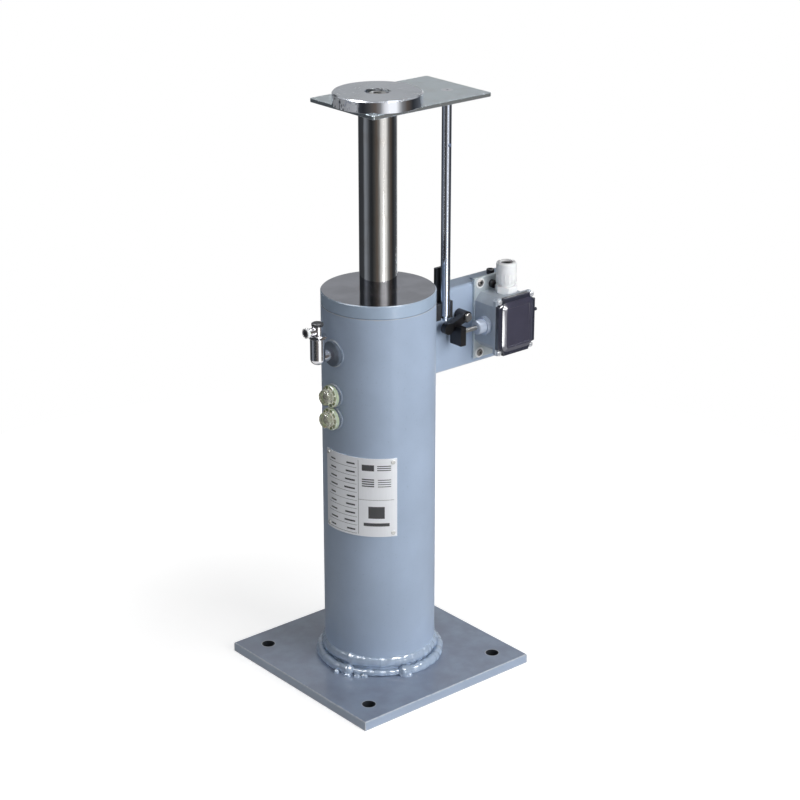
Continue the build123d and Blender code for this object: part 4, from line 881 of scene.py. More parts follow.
SCRAPER_STEEL = Metal("scraper steel", (0.34, 0.34, 0.38), 0.14, Grain.TURNED, 0.6, 0.004)
STEEL = Metal("ground steel", (0.55, 0.55, 0.54), 0.32, Grain.CLOUDED, 1.5, 0.01)
SPRING_STEEL = Metal("spring steel", (0.30, 0.29, 0.28), 0.38, Grain.CLOUDED, 1.0, 0.01)
BRONZE = Metal("bronze", (0.60, 0.42, 0.20), 0.34, Grain.TURNED, 0.8, 0.01)
BLACK_STEEL = Metal(
    "blackened steel", (0.055, 0.055, 0.06), 0.40, Grain.CLOUDED, 1.5, 0.02, stain=(0.10, 0.085, 0.07)
)
LABEL = Metal(
    "anodised label", (0.84, 0.86, 0.90), 0.38, Grain.ALONG_Z, 0.6, 0.003, stained=0.05, metallic=0.3
)
RUBBER = Moulding("black rubber", (0.022, 0.022, 0.024), 0.62, 0.6, 0.02)
BLACK_PLASTIC = Moulding("black plastic", (0.020, 0.021, 0.025), 0.36, 0.5, 0.012)
GLOSS_COVER = Moulding("black cover", (0.024, 0.027, 0.046), 0.30, 0.7, 0.006, (0.06, 0.065, 0.09), coat=1.0)
PANEL_COVER = Moulding(
    "black panel", (0.045, 0.045, 0.076), 0.30, 0.7, 0.004, (0.08, 0.085, 0.12), coat=1.0, coat_index=2.0
)
GREY_PLASTIC = Moulding("pale plastic", (0.96, 0.96, 0.97), 0.42, 0.5, 0.01, (0.98, 0.98, 0.98), glow=0.05)
DIE_CAST = Moulding("grey casting", (0.46, 0.51, 0.57), 0.40, 0.9, 0.05, (0.50, 0.55, 0.60))
INK = Moulding("label ink", (0.055, 0.055, 0.06), 0.5, 0.4, 0.002, (0.12, 0.12, 0.12))
# The pale rubbed colour is a painted highlight along the flange's edges, and the dark face ring is painted
# shade between the ribs.
SIGHT_RIM = Moulding(
    "yellowed flange", (0.48, 0.52, 0.36), 0.20, 1.0, 0.01, (0.97, 0.98, 0.90), coat=1.0, glow=0.2,
    rub_width=0.9, face=(0.17, 0.20, 0.09), band=(1.0, 3.9)
)
# The ribs are coloured lighter than the flange as a painted highlight.
LIT_SIGHT_RIB = Moulding(
    "yellowed rib", (0.88, 0.90, 0.70), 0.24, 1.0, 0.01, (0.95, 0.96, 0.88), coat=0.8, glow=0.2
)
SIGHT_CLEAR = Clear("clear dome", (0.99, 1.0, 0.86), 0.04, 0.82)


@dataclass
class Path:
    """A line that a bead follows, in metres, with its thickness in shares of the bead's radius.

    Attributes:
        points: Its points.
        closed: Whether it ends where it starts.
        girth: Its thickness.
        blob: How much thicker it is near an open end, as a share of its thickness.
        blob_length: How far from an open end it is thickest.
        least_tip: The square of its thickness at the very tip, as a share of what it is before.
    """

    points: list[Vector]
    closed: bool = False
    girth: float = 1.0
    blob: float = 0.0
    blob_length: float = 5 * MM
    least_tip: ClassVar[float] = 0.02

    def edges(self, first: int) -> list[tuple[int, int]]:
        """Lists the line's edges.

        Args:
            first: The number of its first point.

        Returns:
            The edges as pairs of points.
        """
        count = len(self.points)
        last = count if self.closed else count - 1
        return [(first + step, first + (step + 1) % count) for step in range(last)]

    def girths(self) -> list[float]:
        """Gives the thickness at each point, which grows to a blob near an open end and rounds it off.

        Returns:
            The thicknesses.
        """
        if self.closed:
            return [self.girth] * len(self.points)
        run = [0.0]
        for point, other in zip(self.points, self.points[1:]):
            run.append(run[-1] + (other - point).length)
        swells = []
        for along in run:
            reach = min(along, run[-1] - along)
            past = (reach - self.blob_length) / self.blob_length
            swell = 1.0 + self.blob * math.exp(-(past**2))
            closing = max(0.0, 1.0 - reach / self.blob_length)
            swells.append(self.girth * swell * math.sqrt(max(self.least_tip, 1.0 - closing**2)))
        return swells


def path_mesh(name: str, paths: list[Path]) -> bpy.types.Mesh:
    """Makes a mesh of bare edges, which a tree follows, and tells it the thickness at each point.

    Args:
        name: The mesh's name.
        paths: The lines.

    Returns:
        The mesh.
    """
    points: list[tuple[float, ...]] = []
    edges: list[tuple[int, int]] = []
    girths: list[float] = []
    for path in paths:
        edges += path.edges(len(points))
        points += [tuple(point) for point in path.points]
        girths += path.girths()
    mesh = bpy.data.meshes.new(name)
    mesh.from_pydata(points, edges, [])
    mesh.attributes.new("girth", "FLOAT", "POINT").data.foreach_set("value", girths)
    return mesh


def level_arc(radius: float, height: float, first: float, last: float, step: float = 0.5) -> list[Vector]:
    """Follows a level circle round the tube's axis.

    Args:
        radius: Its radius in metres.
        height: Its height in metres.
        first: The angle that it starts at, in degrees.
        last: The angle that it ends at, in degrees.
        step: About how many degrees lie between two points.

    Returns:
        The points.
    """
    count = round(abs(last - first) / step)
    turns = [math.radians(first + (last - first) * number / count) for number in range(count + 1)]
    return [Vector((radius * math.cos(turn), radius * math.sin(turn), height)) for turn in turns]


class Growth(Graph):
    """A geometry tree with named inputs, whose result becomes a plain mesh."""

    def __init__(self, name: str, sizes: dict[str, str]) -> None:
        """Makes the tree and its inputs.

        Args:
            name: The tree's name.
            sizes: The kind of each input, by its name.
        """
        super().__init__(bpy.data.node_groups.new(name, "GeometryNodeTree"))
        interface = self.tree.interface
        interface.new_socket("Geometry", in_out="INPUT", socket_type="NodeSocketGeometry")
        for label, kind in sizes.items():
            interface.new_socket(label, in_out="INPUT", socket_type=f"NodeSocket{kind}")
        interface.new_socket("Material", in_out="INPUT", socket_type="NodeSocketMaterial")
        interface.new_socket("Geometry", in_out="OUTPUT", socket_type="NodeSocketGeometry")
        self.given = self.tree.nodes.new("NodeGroupInput").outputs

    def finish(self, geometry: Socket, smooth: bool) -> None:
        """Ends the tree in real geometry with its material.

        Args:
            geometry: What has grown.
            smooth: Whether its faces are shaded smooth.
        """
        shaded = self.add("GeometryNodeSetShadeSmooth", {"Geometry": geometry, "Shade Smooth": smooth})
        real = self.add("GeometryNodeRealizeInstances", {"Geometry": shaded.outputs[0]})
        inputs = {"Geometry": real.outputs[0], "Material": self.given["Material"]}
        dressed = self.add("GeometryNodeSetMaterial", inputs)
        end = self.tree.nodes.new("NodeGroupOutput")
        self.tree.links.new(dressed.outputs[0], end.inputs[0])

    def grow(self, name: str, seed: bpy.types.Mesh, values: dict[str, Feed]) -> bpy.types.Object:
        """Runs the tree and keeps its result as a plain mesh.

        Args:
            name: The new piece's name.
            seed: The mesh that goes into the tree.
            values: What each named input gets.

        Returns:
            The new piece.
        """
        source = placed(f"{name} seed", seed)
        modifier = source.modifiers.new("growth", "NODES")
        modifier.node_group = self.tree
        for item in self.tree.interface.items_tree:
            if item.in_out == "INPUT" and item.name in values:
                modifier[item.identifier] = values[item.name]
        graph = bpy.context.evaluated_depsgraph_get()
        mesh = bpy.data.meshes.new_from_object(source.evaluated_get(graph), depsgraph=graph)
        bpy.data.objects.remove(source)
        return placed(name, mesh)


class Washers(Growth):
    """Flat washers that lie on a sheet across the Y axis, one at each point that is given."""

    corners: int = 40

    def __init__(self) -> None:
        """Builds the tree: a ring with a square section stands on each point."""
        super().__init__("washers", dict.fromkeys(("Middle radius", "Width", "Thickness"), "Float"))
        given = self.given
        circle = {"Resolution": self.corners, "Radius": given["Middle radius"]}
        ring = self.add("GeometryNodeCurvePrimitiveCircle", circle)
        square = {"Width": given["Width"], "Height": given["Thickness"]}
        section = self.add("GeometryNodeCurvePrimitiveQuadrilateral", square)
        swept = {"Curve": ring.outputs[0], "Profile Curve": section.outputs[0]}
        washer = self.add("GeometryNodeCurveToMesh", swept)
        turned = {"Geometry": washer.outputs[0], "Rotation": (math.pi / 2, 0.0, 0.0)}
        laid = self.add("GeometryNodeTransform", turned)
        row = {"Points": given["Geometry"], "Instance": laid.outputs[0]}
        self.finish(self.add("GeometryNodeInstanceOnPoints", row).outputs[0], False)


class WeldBead(Growth):
    """A weld bead along a path, with the ripples and lumps of hand welding."""

    lump_detail: float = 0.5

    def __init__(self) -> None:
        """Builds the tree: the path is cut into short steps and thickened unevenly."""
        floats = ("Radius", "Ripple pitch", "Ripple depth", "Lump size", "Lump depth", "Wander", "Step")
        super().__init__("weld bead", {**dict.fromkeys(floats, "Float"), "Sides": "Int", "Seed": "Float"})
        given = self.given
        curve = self.add("GeometryNodeMeshToCurve", {"Mesh": given["Geometry"]}).outputs[0]
        cut = {"Curve": curve, "Length": given["Step"]}
        steps = self.add("GeometryNodeResampleCurve", cut, mode="LENGTH")
        along = self.add("GeometryNodeSplineParameter").outputs["Length"]
        phase = self.times(self.math("DIVIDE", along, given["Ripple pitch"]), 2 * math.pi)
        ripple = self.times(self.math("SINE", phase), given["Ripple depth"])
        position = self.add("GeometryNodeInputPosition").outputs[0]
        spread = self.vector("DIVIDE", position, self.join(*(given["Lump size"],) * 3))
        seeded = {"Vector": spread, "W": given["Seed"], "Detail": self.lump_detail}
        noise = self.add("ShaderNodeTexNoise", seeded, noise_dimensions="4D")
        lump = self.times(self.math("SUBTRACT", noise.outputs[0], 0.5), given["Lump depth"])
        swell = self.math("ADD", 1.0, self.math("ADD", ripple, lump))
        girth = self.add("GeometryNodeInputNamedAttribute", {"Name": "girth"}, data_type="FLOAT").outputs[0]
        swell = self.times(swell, girth)
        centred = self.vector("SUBTRACT", noise.outputs[1], (0.5, 0.5, 0.5))
        strays = self.vector("MULTIPLY", centred, self.join(*(given["Wander"],) * 3))
        wandered = self.add("GeometryNodeSetPosition", {"Geometry": steps.outputs[0], "Offset": strays})
        circle = self.add("GeometryNodeCurvePrimitiveCircle", {"Resolution": given["Sides"], "Radius": 1.0})
        swept = {
            "Curve": wandered.outputs[0],
            "Profile Curve": circle.outputs[0],
            "Scale": self.times(swell, given["Radius"]),
            "Fill Caps": True,
        }
        self.finish(self.add("GeometryNodeCurveToMesh", swept).outputs[0], True)


class RibRing(Growth):
    """Round-backed ribs, evenly spaced round an upright axis, laid down on any axis afterwards."""

    rib_sides: int = 8

    def __init__(self) -> None:
        """Builds the tree: a small drum stands on each point of a ring."""
        floats = ("Ring radius", "Rib radius", "Rib length", "Flatness")
        vectors = {"Centre": "Vector", "Turn": "Vector", "Lean": "Vector"}
        super().__init__("ring of ribs", {"Count": "Int", **dict.fromkeys(floats, "Float"), **vectors})
        given = self.given
        circle = {"Vertices": given["Count"], "Radius": given["Ring radius"]}
        ring = self.add("GeometryNodeMeshCircle", circle)
        size = {"Vertices": self.rib_sides, "Radius": given["Rib radius"], "Depth": given["Rib length"]}
        drum = self.add("GeometryNodeMeshCylinder", size)
        leaned = self.add("GeometryNodeTransform", {"Geometry": drum.outputs[0], "Rotation": given["Lean"]})
        outward = {"Vector": self.add("GeometryNodeInputPosition").outputs[0]}
        aligned = self.add("FunctionNodeAlignRotationToVector", outward, axis="X", pivot_axis="Z")
        spaced = {
            "Points": ring.outputs[0],
            "Instance": leaned.outputs[0],
            "Rotation": aligned.outputs[0],
            "Scale": self.join(given["Flatness"], 1.0, 1.0),
        }
        ribs = self.add("GeometryNodeInstanceOnPoints", spaced).outputs[0]
        real = self.add("GeometryNodeRealizeInstances", {"Geometry": ribs}).outputs[0]
        moved = {"Geometry": real, "Translation": given["Centre"], "Rotation": given["Turn"]}
        self.finish(self.add("GeometryNodeTransform", moved).outputs[0], True)

    def stand(self, name: str, values: dict[str, Feed]) -> bpy.types.Object:
        """Grows the ring, which needs no seed and is upright, with round ribs, unless the values differ."""
        plain = {"Flatness": 1.0, "Turn": UPRIGHT, "Lean": UPRIGHT}
        return self.grow(name, bpy.data.meshes.new("no seed"), {**plain, **values})


class TubePrint(Growth):
    """Print that is drawn flat, with X along the plate and Z up it, and then rolled round the tube."""

    def __init__(self) -> None:
        """Builds the tree: each point's X becomes an angle and its Y a distance from the axis."""
        super().__init__("print round the tube", {"Radius": "Float", "Middle angle": "Float"})
        given = self.given
        x, y, z = self.split(self.add("GeometryNodeInputPosition").outputs[0])
        angle = self.math("ADD", given["Middle angle"], self.math("DIVIDE", x, given["Radius"]))
        reach = self.math("ADD", given["Radius"], y)
        rolled = self.join(
            self.times(reach, self.math("COSINE", angle)),
            self.times(reach, self.math("SINE", angle)),
            z,
        )
        moved = self.add("GeometryNodeSetPosition", {"Geometry": given["Geometry"], "Position": rolled})
        self.finish(moved.outputs[0], False)


@dataclass(frozen=True)
class Welding:
    """How a weld is laid by hand, sized in millimetres.

    Attributes:
        radius: The bead's radius.
        ripple_pitch: How far apart its ripples are.
        ripple_depth: How far they swell it, as a share of its radius.
        lump_size: How long its lumps are.
        lump_depth: How far they swell it, as a share of its radius.
        wander: How far it strays from its line.
        step: How long the steps are that it is made of.
        sides: How many faces go round it.
        seed: What sets its lumps apart from another bead's.
    """

    radius: float
    ripple_pitch: float
    ripple_depth: float
    lump_size: float
    lump_depth: float
    wander: float
    step: float
    sides: int
    seed: float

    def lay(self, name: str, paths: list[Path], material: bpy.types.Material) -> bpy.types.Object:
        """Lays a bead along each of some lines.

        Args:
            name: The new piece's name.
            paths: The lines.
            material: The piece's material.

        Returns:
            The new piece.
        """
        values = {
            "Radius": self.radius * MM,
            "Ripple pitch": self.ripple_pitch * MM,
            "Ripple depth": self.ripple_depth,
            "Lump size": self.lump_size * MM,
            "Lump depth": self.lump_depth,
            "Wander": self.wander * MM,
            "Step": self.step * MM,
            "Sides": self.sides,
            "Seed": self.seed,
            "Material": material,
        }
        return WeldBead().grow(name, path_mesh(f"{name} paths", paths), values)


@dataclass
class SubAssembly:
    """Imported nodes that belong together, with the pieces that are made for them.

    Attributes:
        dressing: The finish and the rough shape of each node.
    """

    frame: dict
    dressing: ClassVar[dict[str, tuple[Finish, Form]]] = {}

    @property
    def tube_radius(self) -> float:
        """The outer radius of the reservoir tube in metres."""
        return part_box("outer_tube")[1].x

    def dress(self) -> None:
        """Gives each of the sub-assembly's nodes its own material."""
        for name, (finish, form) in self.dressing.items():
            self.cover(name, finish, form)

    def cover(self, name: str, finish: Finish, form: Form) -> None:
        """Gives a node a material of its own.

        Args:
            name: The node's name.
            finish: Its finish.
            form: Its rough shape.
        """
        material = finish.material(name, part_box(name), form)
        materials = self.frame["nodes"][name].data.materials
        materials.clear()
        materials.append(material)
        LOG.info("dressed %s in %s", name, finish.name)

    def build(self) -> None:
        """Makes the sub-assembly's own pieces, of which some have none."""

    def publish(self, piece: bpy.types.Object, body: str, slot: str, replaced: tuple[str, ...] = ()) -> None:
        """Hangs a finished piece on its body.

        Args:
            piece: The piece.
            body: The body that it moves with.
            slot: The record's material slot for it, which is not used.
            replaced: The nodes that it stands for.
        """
        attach(piece, body)
        if replaced:
            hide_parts(*replaced)
        LOG.info("made %s with %d faces", piece.name, len(piece.data.polygons))


@dataclass(frozen=True)
class Pass:
    """One pass of weld round the foot of the tube, sized in millimetres and degrees.

    Attributes:
        out: How far its middle lies outside the tube.
        rise: How far its middle lies above the floor plate.
        first: The angle that it starts at.
        last: The angle that it ends at.
        girth: Its thickness, as a share of the bead's radius.
        blob: How much thicker it is near its ends, as a share of its thickness.
        blob_length: How far from an end it is thickest.
        closed: Whether it runs all the way round.
    """

    out: float
    rise: float
    first: float
    last: float
    girth: float = 1.0
    blob: float = 0.0
    blob_length: float = 6.0
    closed: bool = False

    def path(self, tube: float, floor: float) -> Path:
        """Draws the line of the pass.

        Args:
            tube: The tube's radius in metres.
            floor: The height of the floor plate's top in metres.

        Returns:
            The line.
        """
        points = level_arc(tube + self.out * MM, floor + self.rise * MM, self.first, self.last)
        return Path(points, self.closed, self.girth, self.blob, self.blob_length * MM)


def dab(first: float, last: float, out: float) -> Pass:
    """Puts a loose dab of weld on the floor plate.

    Args:
        first: The angle that it starts at, in degrees.
        last: The angle that it ends at, in degrees.
        out: How far its middle lies outside the tube, in millimetres.

    Returns:
        The dab as a short pass.
    """
    return Pass(out, 0.4, first, last, girth=0.40, blob=0.2, blob_length=2.6)


@dataclass
class BasePlate(SubAssembly):
    """The foot of the buffer and the weld that joins the tube to it.

    Attributes:
        welding: How the weld is laid.
        passes: A fat upper pass, one that fills the root, a second one with blobs at its ends, and dabs.
    """

    welding: Welding = Welding(
        radius=6.4, ripple_pitch=4.2, ripple_depth=0.001, lump_size=30.0, lump_depth=0.34, wander=2.4,
        step=0.6, sides=28, seed=3.0
    )
    passes: tuple[Pass, ...] = (
        Pass(-2.9, 14.0, -166.0, 206.0, blob=0.18),
        Pass(2.6, 3.2, 0.0, 359.5, girth=0.53, closed=True),
        Pass(4.2, 3.3, -112.0, 205.0, girth=0.80, blob=0.35),
        dab(-147.0, -141.0, 6.0),
        dab(-154.0, -147.0, 8.6),
        dab(-162.0, -156.0, 10.6),
        dab(-173.0, -168.0, 11.0),
        dab(-108.0, -99.0, 8.4),
    )

    def dress(self) -> None:
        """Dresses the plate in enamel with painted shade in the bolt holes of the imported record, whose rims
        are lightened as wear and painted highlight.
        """
        mounts = {mount["name"]: mount["dims"] for mount in self.frame["record"]["mounts"]}
        holes = mounts["base_bolts"]
        bores = (holes["spacing_x_mm"] / 2, holes["hole_r_mm"])
        # The bores get painted shade on their walls and painted highlight with wear on their rims.
        self.cover("base_plate", replace(PLATE_PAINT, bores=bores), Form.BLOCK)

    def build(self) -> None:
        """Lays the passes of the weld."""
        tube, floor = self.tube_radius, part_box("base_plate")[1].z
        paths = [each.path(tube, floor) for each in self.passes]
        material = WELD_PAINT.material("base_weld_bead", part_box("base_weld"), Form.DRUM_Z)
        bead = self.welding.lay("base_weld_bead", paths, material)
        self.publish(bead, "cylinder", "plate_paint", ("base_weld",))


@dataclass
class Cylinder(SubAssembly):
    """The reservoir tube, its cap and what is sealed in them.

    Attributes:
        merging: How near two points of the spring's mesh have to be to become one.
        sharp_angle: The least turn of an edge of the spring that stays sharp, in radians.
    """

    dressing = {
        "outer_tube": (TUBE_PAINT, Form.DRUM_Z),
        "cylinder_cap": (CAP_PAINT, Form.DRUM_Z),
        "cap_set_screw": (BLACK_STEEL, Form.DRUM_Z),
        "cylinder_seat": (STEEL, Form.DRUM_Z),
        "pressure_cylinder": (STEEL, Form.DRUM_Z),
        "foot_valve_cage": (STEEL, Form.DRUM_Z),
        "foot_valve_plate": (STEEL, Form.DRUM_Z),
        "guide_bush": (BRONZE, Form.DRUM_Z),
        "rod_seal": (RUBBER, Form.DRUM_Z),
        "wiper_ring": (SCRAPER_STEEL, Form.DRUM_Z),
        "seat_o_ring": (RUBBER, Form.DRUM_Z),
        "cap_o_ring": (RUBBER, Form.DRUM_Z),
    }
    merging: float = 0.001 * MM
    sharp_angle: float = math.radians(30)

    def build(self) -> None:
        """Makes a merged, smooth-shaded copy of the return spring."""
        low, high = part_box("return_spring")
        mesh = bpy.data.meshes.new("return_spring_coil")
        form = bmesh.new()
        form.from_mesh(self.frame["nodes"]["return_spring"].data)
        bmesh.ops.remove_doubles(form, verts=form.verts, dist=self.merging)
        form.to_mesh(mesh)
        form.free()
        smoothed(mesh, self.sharp_angle)
        mesh.materials.clear()
        mesh.materials.append(SPRING_STEEL.material("return_spring_coil", (low, high), Form.DRUM_Z))
        coil = placed("return_spring_coil", mesh)
        self.publish(coil, "cylinder", "spring_steel", ("return_spring",))
        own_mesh(coil)


@dataclass
class Plunger(SubAssembly):
    """The plunger with its head, and the switch rod that hangs from it."""

    dressing = {
        "plunger_tube": (CHROME, Form.DRUM_Z),
        "plunger_plug": (STEEL, Form.DRUM_Z),
        "piston": (STEEL, Form.DRUM_Z),
        "piston_rings": (BRONZE, Form.DRUM_Z),
        "rebound_sleeve": (STEEL, Form.DRUM_Z),
        "head_plate": (HEAD_ZINC, Form.BLOCK),
        "strike_disc": (TURNED_STEEL, Form.DRUM_Z),
        "head_bolt": (STEEL, Form.DRUM_Z),
        "switch_rod": (ROD_ZINC, Form.DRUM_Z),
        "rod_screw": (ZINC, Form.DRUM_Z),
    }


@dataclass
class TubeBosses(SubAssembly):
    """The bosses on the tube's side and the small welds round them.

    Attributes:
        welding: How the welds are laid.
        steps: How many points the line round a boss has.
        counts: The new pieces, each with the node whose bosses it goes round and how many they are.
    """

    dressing = {
        "filler_boss": (SHADED_BOSS_PAINT, Form.DRUM_X),
        "sight_bosses": (SHADED_BOSS_PAINT, Form.DRUM_X),
    }
    welding: Welding = Welding(
        radius=1.1, ripple_pitch=2.4, ripple_depth=0.08, lump_size=6.0, lump_depth=0.5, wander=0.5,
        step=0.4, sides=12, seed=1.0
    )
    steps: int = 96
    counts: tuple[tuple[str, str, int], ...] = (
        ("filler_boss_bead", "filler_boss", 1),
        ("sight_boss_beads", "sight_bosses", 2),
    )

    def ring(self, boss: float, height: float) -> list[Vector]:
        """Follows the line where a level boss meets the upright tube on its -X side.

        Args:
            boss: The boss's radius.
            height: The height of the boss's axis.

        Returns:
            The points of the line.
        """
        points = []
        tube = self.tube_radius
        for step in range(self.steps):
            turn = 2 * math.pi * step / self.steps
            y = boss * math.sin(turn)
            points.append(Vector((-math.sqrt(tube**2 - y**2), y, height + boss * math.cos(turn))))
        return points

    def bosses(self, node: str, count: int) -> list[Span]:
        """Finds the bosses in a node, which stand one above the other.

        Args:
            node: The node's name.
            count: How many bosses it holds.

        Returns:
            The radius and the height of each boss.
        """
        low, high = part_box(node)
        radius = (high.y - low.y) / 2
        if count == 1:
            return [(radius, (low.z + high.z) / 2)]
        return [(radius, low.z + radius), (radius, high.z - radius)]

    def build(self) -> None:
        """Lays a bead round each boss."""
        for name, node, count in self.counts:
            paths = [Path(self.ring(*boss), closed=True) for boss in self.bosses(node, count)]
            corners = corners_of([point for path in paths for point in path.points])
            material = SHADED_BEAD_PAINT.material(name, corners, Form.DRUM_X)
            self.publish(self.welding.lay(name, paths, material), "cylinder", "tube_paint")


@dataclass
class Filler(SubAssembly):
    """The filler elbow with its union nut, tee, cap and side port.

    Attributes:
        rib_count: How many grip ribs the vent cap has.
        rib_radius: Their radius.
        rib_margin: How far they stay from the cap's ends.
    """

    dressing = {
        "filler_elbow": (BRIGHT, Form.BLOCK),
        "filler_collar": (BRIGHT, Form.DRUM_Z),
        "vent_tee": (BRIGHT, Form.BLOCK),
        "vent_cap": (BLACK_PLASTIC, Form.DRUM_Z),
        "side_port_ring": (GREY_PLASTIC, Form.DRUM_X),
        "side_port_plug": (BLACK_PLASTIC, Form.DRUM_X),
    }
    rib_count: int = 24
    rib_radius: float = 0.42 * MM
    rib_margin: float = 0.7 * MM

    def build(self) -> None:
        """Sets grip ribs round the vent cap."""
        low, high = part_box("vent_cap")
        values = {
            "Count": self.rib_count,
            "Ring radius": (high.y - low.y) / 2,
            "Rib radius": self.rib_radius,
            "Rib length": high.z - low.z - 2 * self.rib_margin,
            "Centre": tuple((low + high) / 2),
            "Material": BLACK_PLASTIC.material("vent_cap_ribs", (low, high), Form.DRUM_Z),
        }
        self.publish(RibRing().stand("vent_cap_ribs", values), "cylinder", "black_plastic")


@dataclass
class SightGlasses(SubAssembly):
    """The two sight glasses, with the radial ribs of their flanges.

    Attributes:
        rib_count: How many ribs each flange has.
        rib_radius: Their radius.
        rib_length: Their length.
        rib_inset: How far inside the middle of the flange's face they stand.
    """

    dressing = {
        "sight_seals": (RUBBER, Form.DRUM_X),
        "sight_plugs": (SIGHT_RIM, Form.DRUM_X),
        "sight_domes": (SIGHT_CLEAR, Form.DRUM_X),
    }
    rib_count: int = 10
    rib_radius: float = 0.55 * MM
    rib_length: float = 2.6 * MM
    rib_inset: float = 0.3 * MM

    def build(self) -> None:
        """Sets ribs on the face of each flange, between the dome and the rim."""
        low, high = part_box("sight_plugs")
        radius = (high.y - low.y) / 2
        dome = -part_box("sight_domes")[0].y
        for number, height in enumerate((low.z + radius, high.z - radius), start=1):
            name = f"sight_flange_ribs_{number}"
            centre = Vector((low.x, 0.0, height))
            reach = Vector((self.rib_radius, radius, radius))
            values = {
                "Count": self.rib_count,
                "Ring radius": (radius + dome) / 2 - self.rib_inset,
                "Rib radius": self.rib_radius,
                "Rib length": self.rib_length,
                "Centre": tuple(centre),
                "Turn": (0.0, -math.pi / 2, 0.0),
                "Lean": (0.0, math.pi / 2, 0.0),
                "Material": LIT_SIGHT_RIB.material(name, (centre - reach, centre + reach), Form.DRUM_X),
            }
            self.publish(RibRing().stand(name, values), "cylinder", "sight_flange")


@dataclass(frozen=True)
class Bar:
    """A printed rectangle on the flat plate, in millimetres from the plate's lower left corner."""

    left: float
    right: float
    bottom: float
    top: float


@dataclass(frozen=True)
class Rows:
    """Like bars in a cell of the form, one below the other, in millimetres.

    Attributes:
        left: Where they start, as a share of the cell's width and an addition to it.
        right: Where they end, in the same way.
        drop: How far the first one's top lies below the cell's top.
        height: How tall each of them is.
        pitch: How far apart their tops are.
        count: How many there are.
    """

    left: Span
    right: Span
    drop: float
    height: float
    pitch: float = 0.0
    count: int = 1

    def bars(self, side: float, width: float, top: float) -> list[Bar]:
        """Draws the bars.

        Args:
            side: The cell's left side.
            width: The cell's width.
            top: The cell's top.

        Returns:
            The rectangles that are printed.
        """
        left, right = (side + share * width + more for share, more in (self.left, self.right))
        tops = [top - self.drop - self.pitch * number for number in range(self.count)]
        return [Bar(left, right, level - self.height, level) for level in tops]


